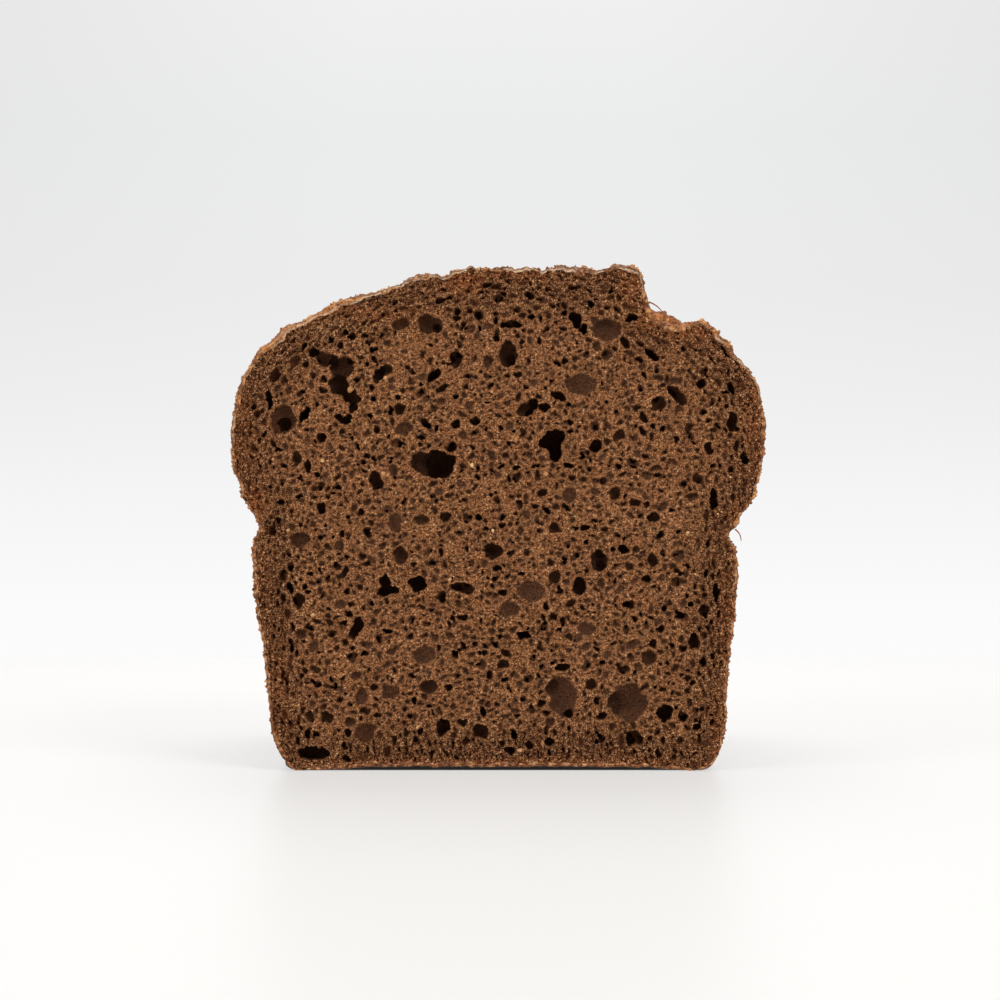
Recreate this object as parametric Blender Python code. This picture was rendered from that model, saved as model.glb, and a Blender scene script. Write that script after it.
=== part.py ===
"""Half of a wholemeal tin loaf, standing on its base with the cut face to the front.

The loaf is one solid. Its lower part is the block that the tin shaped, its upper part has risen over the
tin's rim, and a tear runs back along the right of the crown. The cut face at the front (-Y) shows the
larger air cells as hollows. The far end (+Y) is the heel of the loaf.
Run with: blender --background --python part.py
"""

import math
import random

import bmesh
import bpy
from mathutils import Matrix, Vector, noise

MM = 0.001  # the sizes below are in millimetres, and the model is in metres

# Driving dimensions of the loaf
LENGTH = 120.0  # from the cut face to the back of the heel
RIM_HEIGHT = 60.0  # height of the waist, where the dough met the tin's rim
BULGE_HEIGHT = 84.0  # height at which the risen part is widest
CROWN_HEIGHT = 125.6
BASE_CORNER_HEIGHT = 13.0
BASE_ARCH = 1.2  # the base lifts off the table this far at the cut
BASE_ARCH_REACH = 44.0  # half-width over which it lifts
WALL_TOP_HEIGHT = 49.0  # above this the tin wall rounds in to the waist

# Half-widths from the middle plane, and the heel's reach from the middle of its rounded plan
RIGHT = {"foot": 50.8, "wall": 57.2, "rim": 60.5, "waist": 57.8, "bulge": 67.1}
LEFT = {"foot": 50.6, "wall": 57.0, "rim": 61.2, "waist": 59.2, "bulge": 66.7}
HEEL = {"foot": 46.0, "wall": 51.2, "rim": 54.4, "waist": 52.4, "bulge": 60.0}
HEEL_CENTRE = LENGTH - HEEL["bulge"]  # from the cut face

# The tear along the right of the crown
TEAR_EDGE = 35.7  # the crown's raised slab ends here, as a torn step
TEAR_STEP_HALF = 1.4  # half the width over which the step falls
TEAR_FLOOR = 44.6
TEAR_FLOOR_HALF = 7.5
TEAR_DEPTH = 3.9
CROWN_LIFT = 4.1  # the slab stands this far over the round crown
CROWN_LIFT_START = 8.0
CROWN_LIFT_LEVEL = 4.0  # the slab is level over this far before its torn edge
TEAR_VARIATION = 0.35  # how unevenly deep the tear is, as a share of its depth
OUTER_LIP = 52.4
OUTER_LIP_HALF = 3.2
OUTER_LIP_RISE = 0.7
TEAR_FADE_START = 52.0  # behind the cut the tear closes from here
TEAR_FADE_LENGTH = 48.0
SHOULDER_SAG = 1.5  # the left shoulder lies this far under the round crown
SHOULDER_SAG_AT = 33.0
SHOULDER_SAG_HALF = 26.0

# How square the plan is: high in the tin, low on the crown
TIN_SQUARENESS = 8.0
BULGE_SQUARENESS = 5.0
CROWN_SQUARENESS = 2.3
# How full the section's quarter curves are: 2 is an ellipse, more is fuller
OVERHANG_FULLNESS = 1.4
CROWN_FULLNESS = 2.15

# Mesh steps
STRAIGHT_STEPS = 15
HEEL_STEPS = 36
BASE_STEPS = 5
CORNER_STEPS = 5
WALL_STEPS = 7
WAIST_STEPS = 3
OVERHANG_STEPS = 7
CROWN_STEPS = 21
TEAR_ROWS = (-1.5, -0.5, 0.5, 1.5)  # extra rows across the step, in half-widths of the step
ROW_CLEARANCE = 0.35  # other rows keep this share of a row's spacing away from them
MERGE_GAP = 0.01

# Crags of the crust: height and spacing
CROWN_CRAG = 1.1
CROWN_CRAG_SPACING = 10.0
LIP_CRAG = 1.0
LIP_CRAG_SPACING = 7.0
TIN_CRAG = 0.35
TIN_CRAG_SPACING = 14.0
CUT_EDGE_CRAG = 0.35  # share of the crags that is left at the cut
CUT_EDGE_REACH = 8.0
RIM_WANDER = 1.8  # how far the waist rises and falls round the loaf
RIM_WANDER_SPACING = 24.0
RIM_WANDER_HALF = 20.0
CROWN_START = 15.0  # the crown's relief grows to its full height over this far above the widest part
LIP_ABOVE_RIM = 6.0  # the ragged lip over the waist: its middle, and half its height
LIP_HALF = 9.0
FLANK_SHARE = 0.25  # share of the crown's crags that the flanks have
WALL_FADE = 6.0  # the crags give way to dimples over this far below the waist
CALM_TOP = 16.0  # the crags die away this near to the middle of the heel's plan
SWAY_START = 20.0  # waves and wandering grow over this far behind the cut
SWAY = 1.6  # how far the tear wanders sideways
SWAY_SPACING = 30.0
WAVE = 1.0  # slow rise and fall of the crown behind the cut
WAVE_SPACING = 38.0
FLAT_BASE = 0.02  # whatever lies lower than this stays flat

# The largest air cells, which show as hollows in the cut face:
# across, up (both from the middle of the base), half-width, half-height, tilt in degrees, depth
LARGE_CELLS = (
    (-17.0, 76.5, 5.6, 4.0, 5, 7.5),
    (-39.0, 100.0, 3.4, 2.8, 20, 4.5),
    (-39.6, 95.4, 2.2, 2.8, 0, 5.5),
    (-36.2, 91.9, 2.8, 2.2, -25, 4.5),
    (-52.6, 87.9, 2.8, 3.3, 0, 3.4),
    (14.2, 82.6, 3.4, 3.6, 0, 6.5),
    (3.0, 104.6, 2.3, 3.4, 0, 3.4),
    (-16.3, 112.0, 3.4, 2.5, -15, 2.2),
    (27.5, 110.0, 3.4, 2.6, 0, 1.8),
    (20.9, 96.3, 3.7, 2.8, 0, 1.3),
    (45.0, 94.1, 3.2, 1.6, -45, 2.8),
    (-26.9, 45.2, 3.0, 1.8, 0, 5.0),
    (-20.2, 46.8, 2.4, 2.2, 0, 5.0),
    (25.3, 51.9, 2.6, 2.7, 0, 3.0),
    (17.5, 18.2, 3.4, 5.0, 8, 2.2),
    (32.8, 17.3, 4.5, 4.5, 0, 2.4),
    (-45.2, 3.9, 3.8, 1.9, -8, 5.0),
)
# The next largest are drawn at random between the others
MEDIUM_CELLS = 28
MEDIUM_CELL_SEED = 11
MEDIUM_CELL_RADIUS = (1.3, 2.5)
MEDIUM_CELL_STRETCH = (0.75, 1.35)
MEDIUM_CELL_DEPTH = (0.9, 2.0)  # in radii
MEDIUM_CELL_TILT = 50.0
CELL_GAP = 1.6  # crumb left between two hollows
CRUST_GAP = 5.0  # crumb left between a hollow and the crust
CELL_WANDER = 0.16  # how uneven a hollow's wall is, as a share of its size
CELL_WANDER_STEP = 1.3
CELL_BALL = 0.72  # the ball that makes a hollow reaches this share of its depth to either side of its middle

CRUST_COLOUR = (0.19, 0.075, 0.03, 1.0)
CRUST_ROUGHNESS = 0.85
SHARP_ANGLE = 50.0


def clear_scene():
    for obj in list(bpy.data.objects):
        bpy.data.objects.remove(obj, do_unlink=True)


def smooth(value):
    """Rises smoothly from 0 to 1 as value goes from 0 to 1."""
    value = min(max(value, 0.0), 1.0)
    return value * value * (3.0 - 2.0 * value)


def quarter(angle, fullness):
    """A point on a quarter of a superellipse: 0 and 1 at no angle, 1 and 0 at a right angle."""
    power = 2.0 / fullness
    return math.sin(angle) ** power, max(math.cos(angle), 0.0) ** power


def hump(distance, half):
    """1 in the middle, falling smoothly to 0 at half to either side."""
    return smooth(1.0 - abs(distance) / half)


def wander(along, spacing, seed):
    """A slow random swing between about -1 and 1 along one line."""
    return noise.noise(Vector((along / spacing, seed, 0.37)))


def tear_edge(along):
    """Where the torn step runs, at a distance behind the cut."""
    return TEAR_EDGE + SWAY * wander(along, SWAY_SPACING, 1.7)


def tear_rise(across, along):
    """How far the torn crown stands over the plain round crown."""
    edge = tear_edge(along)
    shift = edge - TEAR_EDGE
    slab = smooth((across - CROWN_LIFT_START) / (edge - CROWN_LIFT_START - CROWN_LIFT_LEVEL))
    slab *= smooth((edge + TEAR_STEP_HALF - across) / (2.0 * TEAR_STEP_HALF))
    opened = TEAR_DEPTH * (1.0 + TEAR_VARIATION * wander(along, SWAY_SPACING, 5.1))
    floor = hump(across - TEAR_FLOOR - shift, TEAR_FLOOR_HALF)
    lip = hump(across - OUTER_LIP - shift, OUTER_LIP_HALF)
    sag = hump(across + SHOULDER_SAG_AT, SHOULDER_SAG_HALF)
    rise = CROWN_LIFT * slab - opened * floor + OUTER_LIP_RISE * lip - SHOULDER_SAG * sag
    return rise * (1.0 - smooth((along - TEAR_FADE_START) / TEAR_FADE_LENGTH))


def crown_angles(bulge, along):
    """Angles round the crown, from the widest point up, with close rows across the torn step."""
    angles = [math.pi / 2 * i / CROWN_STEPS for i in range(1, CROWN_STEPS + 1)]
    edge = tear_edge(along)
    steps = [(edge - row * TEAR_STEP_HALF) / bulge for row in TEAR_ROWS]
    rows = [math.acos(step ** (CROWN_FULLNESS / 2.0)) for step in steps]
    clear = ROW_CLEARANCE * math.pi / 2 / CROWN_STEPS
    kept = [a for a in angles if a < rows[0] - clear or a > rows[-1] + clear]
    while len(kept) + len(rows) > CROWN_STEPS + 2:
        kept.remove(min(kept[:-1], key=lambda a: abs(a - rows[0])))
    return sorted(kept + rows)


def profile(side, along):
    """Points (out, up) from the middle of the base round one side to the top of the crown."""
    points = []
    arch = BASE_ARCH * smooth(1.0 - along / HEEL_CENTRE)
    for i in range(BASE_STEPS + 1):
        share = i / BASE_STEPS
        points.append((BASE_ARCH_REACH * share, arch * (1.0 - share * share)))
    corner = side["wall"] - side["foot"]
    for i in range(CORNER_STEPS + 1):
        angle = math.pi / 2 * i / CORNER_STEPS
        up = BASE_CORNER_HEIGHT * (1.0 - math.cos(angle))
        points.append((side["foot"] + corner * math.sin(angle), up))
    for i in range(1, WALL_STEPS + 1):
        share = i / WALL_STEPS
        up = BASE_CORNER_HEIGHT + (WALL_TOP_HEIGHT - BASE_CORNER_HEIGHT) * share
        points.append((side["wall"] + (side["rim"] - side["wall"]) * share, up))
    for i in range(1, WAIST_STEPS + 1):
        angle = math.pi / 2 * i / WAIST_STEPS
        out = side["waist"] + (side["rim"] - side["waist"]) * math.cos(angle)
        up = WALL_TOP_HEIGHT + (RIM_HEIGHT - WALL_TOP_HEIGHT) * math.sin(angle)
        points.append((out, up))
    for i in range(1, OVERHANG_STEPS + 1):
        out, drop = quarter(math.pi / 2 * i / OVERHANG_STEPS, OVERHANG_FULLNESS)
        hang = side["waist"] + (side["bulge"] - side["waist"]) * out
        points.append((hang, BULGE_HEIGHT - (BULGE_HEIGHT - RIM_HEIGHT) * drop))
    for angle in crown_angles(RIGHT["bulge"], along):
        rise, out = quarter(angle, CROWN_FULLNESS)
        points.append((side["bulge"] * out, BULGE_HEIGHT + (CROWN_HEIGHT - BULGE_HEIGHT) * rise))
    points[-1] = (0.0, CROWN_HEIGHT)
    return points


def squareness(row, rows):
    """The plan's superellipse power at a row: square in the tin, rounder towards the crown."""
    crown_start = rows - CROWN_STEPS - 2
    overhang_start = crown_start - OVERHANG_STEPS
    if row <= overhang_start:
        return TIN_SQUARENESS
    if row <= crown_start:
        share = (row - overhang_start) / OVERHANG_STEPS
        return TIN_SQUARENESS + (BULGE_SQUARENESS - TIN_SQUARENESS) * share
    share = (row - crown_start) / (rows - crown_start)
    return BULGE_SQUARENESS + (CROWN_SQUARENESS - BULGE_SQUARENESS) * share


def straight_ring(sign, along):
    """One half section of the straight part, at a distance behind the cut."""
    side = RIGHT if sign > 0 else LEFT
    return [Vector((sign * out, along, up)) for out, up in profile(side, along)]


def heel_ring(angle):
    """One section of the heel, in a plane that turns round the middle of its plan."""
    side = RIGHT if angle < math.pi / 2 else LEFT
    flank = profile(side, HEEL_CENTRE)
    end = profile(HEEL, HEEL_CENTRE)
    turned = math.sin(angle) ** 2
    ring = []
    for row, ((a, flank_up), (b, end_up)) in enumerate(zip(flank, end)):
        up = flank_up + (end_up - flank_up) * turned
        reach = 0.0
        if a > 0.0 and b > 0.0:
            power = squareness(row, len(flank))
            spread = abs(math.cos(angle) / a) ** power + abs(math.sin(angle) / b) ** power
            reach = spread ** (-1.0 / power)
        ring.append(Vector((reach * math.cos(angle), HEEL_CENTRE + reach * math.sin(angle), up)))
    return ring


def loaf_rings():
    """Half sections from the front right, round the heel, to the front left."""
    stations = [HEEL_CENTRE * i / STRAIGHT_STEPS for i in range(STRAIGHT_STEPS)]
    rings = [straight_ring(1, along) for along in stations]
    rings += [heel_ring(math.pi * i / HEEL_STEPS) for i in range(HEEL_STEPS + 1)]
    rings += [straight_ring(-1, along) for along in reversed(stations)]
    return rings


def loft(rings):
    """A closed skin through the rings: the first is extruded from ring to ring, and the cut is filled."""
    bm = bmesh.new()
    verts = [bm.verts.new(point) for point in rings[0]]
    edges = [bm.edges.new(pair) for pair in zip(verts, verts[1:])]
    for ring in rings[1:]:
        made = bmesh.ops.extrude_edge_only(bm, edges=edges)["geom"]
        fresh = {e for e in made if isinstance(e, bmesh.types.BMEdge)}
        # an extruded edge keeps its place in the chain, next to the edge it came from
        chain = []
        for edge in edges:
            face = next(f for f in edge.link_faces if any(e in fresh for e in f.edges))
            chain.append(next(e for e in face.edges if e in fresh and e is not edge))
        edges = chain
        verts = ordered_verts(edges)
        for vert, point in zip(verts, ring):
            vert.co = point
    bmesh.ops.remove_doubles(bm, verts=bm.verts[:], dist=MERGE_GAP)
    rim = [e for e in bm.edges if e.is_boundary]
    bmesh.ops.contextual_create(bm, geom=rim)
    bmesh.ops.dissolve_degenerate(bm, dist=MERGE_GAP, edges=bm.edges[:])
    bmesh.ops.recalc_face_normals(bm, faces=bm.faces[:])
    return bm


def ordered_verts(edges):
    """The vertices along a chain of edges."""
    shared = set(edges[0].verts) & set(edges[1].verts)
    verts = [edges[0].other_vert(next(iter(shared)))]
    for edge in edges:
        verts.append(edge.other_vert(verts[-1]))
    return verts


def crag(point):
    """How far the crust stands out at a point."""
    above = smooth((point.z - BULGE_HEIGHT) / CROWN_START)
    calm = smooth(math.hypot(point.x, point.y - HEEL_CENTRE) / CALM_TOP)
    tin = smooth((RIM_HEIGHT - point.z) / WALL_FADE)
    crown = CROWN_CRAG * noise.fractal(point / CROWN_CRAG_SPACING, 0.8, 2.0, 3)
    crown *= (FLANK_SHARE + (1.0 - FLANK_SHARE) * above * calm) * (1.0 - tin)
    ragged = LIP_CRAG * noise.noise(point / LIP_CRAG_SPACING)
    ragged *= hump(point.z - RIM_HEIGHT - LIP_ABOVE_RIM, LIP_HALF)
    dimples = TIN_CRAG * noise.noise(point / TIN_CRAG_SPACING) * tin
    return crown + ragged + dimples


def sway(point):
    """How far the torn crown, the slow waves and the wandering waist lift a point."""
    behind = smooth(point.y / SWAY_START)
    crown = smooth((point.z - BULGE_HEIGHT) / CROWN_START)
    wave = WAVE * wander(point.y, WAVE_SPACING, 3.3) * behind
    rim = RIM_WANDER * noise.noise(Vector((point.x, point.y, 0.0)) / RIM_WANDER_SPACING)
    rim *= hump(point.z - RIM_HEIGHT, RIM_WANDER_HALF) * behind
    return crown * (tear_rise(point.x, point.y) + wave) + rim


def roughen(bm):
    """Tears the crown, then moves the crust out and in by its crags. The cut and the foot stay flat."""
    for vert in bm.verts:
        vert.co.z += sway(vert.co)
    bm.normal_update()
    moves = []
    for vert in bm.verts:
        if vert.co.z < FLAT_BASE and vert.co.y > FLAT_BASE:
            continue
        out = vert.normal.copy()
        strength = CUT_EDGE_CRAG + (1.0 - CUT_EDGE_CRAG) * smooth(vert.co.y / CUT_EDGE_REACH)
        if vert.co.y < FLAT_BASE:
            out.y = 0.0
            out.normalize()
        foot = smooth(vert.co.z / BASE_CORNER_HEIGHT)
        moves.append((vert, out * crag(vert.co) * foot * strength))
    for vert, move in moves:
        vert.co += move


def half_width(side, height):
    """How wide one side of the cut is at a height."""
    points = profile(side, 0.0)[BASE_STEPS:]
    for (out, up), (next_out, next_up) in zip(points, points[1:]):
        if up <= height <= next_up and next_up > up:
            return out + (next_out - out) * (height - up) / (next_up - up)
    return 0.0


def in_crumb(across, up, reach):
    """Whether a hollow of this reach lies well inside the crust of the cut."""
    side = RIGHT if across > 0 else LEFT
    room = reach + CRUST_GAP
    narrowest = min(half_width(side, up - room), half_width(side, up), half_width(side, up + room))
    return abs(across) + room < narrowest


def cut_cells():
    """The large hollows, with the medium ones drawn between them."""
    draw = random.Random(MEDIUM_CELL_SEED)
    cells = list(LARGE_CELLS)
    while len(cells) < len(LARGE_CELLS) + MEDIUM_CELLS:
        across = draw.uniform(-LEFT["bulge"], RIGHT["bulge"])
        up = draw.uniform(0.0, CROWN_HEIGHT)
        radius = draw.uniform(*MEDIUM_CELL_RADIUS)
        stretch = draw.uniform(*MEDIUM_CELL_STRETCH)
        tilt = draw.uniform(-MEDIUM_CELL_TILT, MEDIUM_CELL_TILT)
        depth = radius * draw.uniform(*MEDIUM_CELL_DEPTH)
        near = any(
            math.hypot(across - x, up - z) < radius * stretch + max(a, b) + CELL_GAP
            for x, z, a, b, _, _ in cells
        )
        if not near and in_crumb(across, up, radius * stretch):
            cells.append((across, up, radius * stretch, radius / stretch, tilt, depth))
    return cells


def cell_cutter(index, cell):
    """An uneven ball that hollows one air cell out of the cut face."""
    across, up, half_wide, half_high, tilt, depth = cell
    bm = bmesh.new()
    bmesh.ops.create_icosphere(bm, subdivisions=2, radius=1.0)
    for vert in bm.verts:
        swing = noise.noise(vert.co * CELL_WANDER_STEP + Vector((index, 0.0, 0.0)))
        vert.co *= 1.0 + CELL_WANDER * swing
    # the ball's middle lies behind the cut, so the mouth is a little narrower than the ball
    behind = 1.0 - CELL_BALL
    mouth = math.sqrt(1.0 - (behind / CELL_BALL) ** 2)
    size = Matrix.Diagonal((half_wide / mouth, depth * CELL_BALL, half_high / mouth, 1.0))
    turn = Matrix.Rotation(-math.radians(tilt), 4, "Y")
    place = Matrix.Translation((across, depth * behind, up))
    bmesh.ops.transform(bm, matrix=place @ turn @ size, verts=bm.verts[:])
    return bm


def object_of(name, bm, collection):
    """A mesh object in metres, from a mesh built in millimetres."""
    bmesh.ops.scale(bm, vec=(MM, MM, MM), verts=bm.verts[:])
    mesh = bpy.data.meshes.new(name)
    bm.to_mesh(mesh)
    bm.free()
    obj = bpy.data.objects.new(name, mesh)
    collection.objects.link(obj)
    return obj


def crust_material():
    material = bpy.data.materials.new("baked_crust")
    material.use_nodes = True
    shader = material.node_tree.nodes["Principled BSDF"]
    shader.inputs["Base Color"].default_value = CRUST_COLOUR
    shader.inputs["Roughness"].default_value = CRUST_ROUGHNESS
    shader.inputs["Metallic"].default_value = 0.0
    return material


def centre(bm):
    """Puts the origin at the middle of the base, and returns how far the loaf moved."""
    low = Vector([min(v.co[i] for v in bm.verts) for i in range(3)])
    high = Vector([max(v.co[i] for v in bm.verts) for i in range(3)])
    move = Vector((-(low.x + high.x) / 2, -(low.y + high.y) / 2, -low.z))
    bmesh.ops.translate(bm, vec=move, verts=bm.verts[:])
    return move


def main():
    clear_scene()
    scene = bpy.context.scene.collection
    bm = loft(loaf_rings())
    roughen(bm)
    move = centre(bm)
    loaf = object_of("loaf", bm, scene)
    loaf.data.materials.append(crust_material())
    loaf.data.shade_smooth()
    loaf.data.set_sharp_from_angle(angle=math.radians(SHARP_ANGLE))

    cutters = bpy.data.collections.new("cell_cutters")
    scene.children.link(cutters)
    for index, cell in enumerate(cut_cells()):
        cutter_mesh = cell_cutter(index, cell)
        bmesh.ops.translate(cutter_mesh, vec=move, verts=cutter_mesh.verts[:])
        cutter = object_of(f"cell_cutter_{index:02d}", cutter_mesh, cutters)
        cutter.hide_render = True
        cutter.display_type = "WIRE"
    hollows = loaf.modifiers.new("air_cells", "BOOLEAN")
    hollows.operation = "DIFFERENCE"
    hollows.operand_type = "COLLECTION"
    hollows.collection = cutters
    hollows.solver = "EXACT"


main()
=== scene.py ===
"""Half of a dark wholemeal tin loaf: open crumb at the cut, risen crown, tin-baked sides and heel.

The crumb is a block whose front is hollowed by air cells, and the crust is a skin that wraps it from the
cut to the heel. Sizes are in millimetres unless a property says metres.
"""

import math

import bmesh
import bpy
import numpy as np
from bpy.props import FloatProperty, FloatVectorProperty, IntProperty, PointerProperty
from mathutils import Matrix, Vector


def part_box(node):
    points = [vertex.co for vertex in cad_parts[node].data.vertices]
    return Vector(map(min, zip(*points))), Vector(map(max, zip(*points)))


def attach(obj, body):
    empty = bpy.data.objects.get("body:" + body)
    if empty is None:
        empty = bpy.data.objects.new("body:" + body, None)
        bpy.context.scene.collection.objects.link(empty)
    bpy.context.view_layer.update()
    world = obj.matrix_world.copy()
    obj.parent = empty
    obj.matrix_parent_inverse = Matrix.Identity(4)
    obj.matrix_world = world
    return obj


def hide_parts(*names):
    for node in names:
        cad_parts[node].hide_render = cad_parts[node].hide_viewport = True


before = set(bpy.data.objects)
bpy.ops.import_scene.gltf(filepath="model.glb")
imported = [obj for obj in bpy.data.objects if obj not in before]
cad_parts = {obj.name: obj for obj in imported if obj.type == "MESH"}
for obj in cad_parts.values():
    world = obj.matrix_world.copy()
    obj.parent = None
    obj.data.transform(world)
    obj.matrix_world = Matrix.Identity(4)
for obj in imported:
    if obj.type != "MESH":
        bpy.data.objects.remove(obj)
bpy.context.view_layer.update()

bl_info = {
    "name": "Tin loaf",
    "version": (1, 0, 0),
    "blender": (4, 5, 0),
    "location": "View3D > Sidebar > Tin loaf",
    "description": "Builds half of a dark tin loaf with an open crumb, its crust and a pale studio",
    "category": "Add Mesh",
}

MM = 0.001
LOW, HIGH = (np.array(corner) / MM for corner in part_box("loaf"))
FRONT = LOW[1]  # the plane of the cut
BACK = HIGH[1]
HEEL_REACH = 60.0  # depth of the rounded heel
HEEL_CENTRE = BACK - HEEL_REACH
MIDDLE = 62.0  # height of the point that the crust is drawn round

# The outline of the cut, from the middle of the base up the right side and down the left, in mm
CUT_OUTLINE = (
    (0.0, 1.4), (24.0, 1.4), (36.0, 1.1), (43.0, 0.6), (47.0, 0.0), (50.6, 0.1), (53.0, 1.0), (54.6, 3.0),
    (55.5, 5.8), (56.3, 8.8), (56.9, 13.0), (57.0, 18.0), (57.3, 23.0), (57.7, 27.0), (58.3, 32.0),
    (58.9, 36.0),
    (59.3, 40.0), (59.5, 44.5), (60.1, 49.3), (59.7, 52.0), (59.1, 55.3), (58.4, 57.0), (57.5, 58.6),
    (57.6, 59.9), (59.4, 61.0), (60.2, 62.8), (60.5, 64.3), (62.1, 65.8), (63.9, 68.8), (64.9, 71.8),
    (65.6, 74.8), (66.2, 77.8), (66.9, 81.0), (66.9, 87.0), (66.4, 89.8), (65.8, 92.8), (65.3, 95.8),
    (64.4, 98.3), (62.9, 100.2), (61.4, 102.2), (60.0, 103.2), (58.4, 105.2), (56.9, 107.2), (55.4, 108.4),
    (53.9, 109.8), (52.4, 111.2), (51.2, 112.3), (49.6, 111.9), (47.6, 110.8), (45.6, 110.4), (43.6, 110.7),
    (41.6, 111.5), (39.0, 113.0), (37.6, 115.4), (36.9, 118.4), (36.3, 121.5), (35.9, 123.0),
    (35.0, 125.0), (33.0, 125.5), (30.0, 126.1), (25.5, 125.1), (19.0, 125.8), (13.5, 126.0), (10.4, 125.3),
    (7.4, 126.0), (4.4, 125.3), (-1.6, 126.1), (-4.6, 126.3), (-7.6, 126.0), (-10.5, 125.1),
    (-13.6, 123.7), (-16.6, 124.1), (-19.6, 123.4), (-22.6, 122.3), (-25.6, 121.6), (-28.6, 120.6),
    (-31.6, 119.9), (-34.6, 118.6), (-37.6, 117.5), (-40.6, 116.7), (-43.6, 114.9), (-46.6, 114.0),
    (-49.6, 112.4), (-52.8, 111.2), (-55.6, 107.9), (-58.6, 105.6), (-60.6, 104.3), (-62.4, 101.8),
    (-63.7, 98.8), (-65.1, 95.8), (-65.9, 92.8), (-66.5, 89.0), (-66.9, 83.8), (-66.9, 78.6),
    (-66.1, 74.8), (-64.7, 72.0), (-63.9, 68.8), (-62.4, 65.9), (-61.1, 64.3), (-60.3, 62.8), (-59.8, 61.3),
    (-60.5, 59.8), (-61.2, 57.8), (-61.6, 55.3), (-61.5, 52.0), (-61.1, 49.0), (-61.0, 44.0),
    (-60.5, 39.5), (-59.9, 35.8), (-59.1, 32.0), (-58.8, 29.0), (-58.3, 26.0), (-57.9, 22.0), (-57.6, 17.5),
    (-57.3, 14.5), (-56.8, 11.0), (-56.3, 8.0), (-55.4, 5.8), (-54.4, 3.4), (-52.6, 1.2), (-50.0, 0.1),
    (-46.0, 0.0), (-41.0, 0.5), (-33.0, 1.1), (-22.0, 1.4),
)

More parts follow.
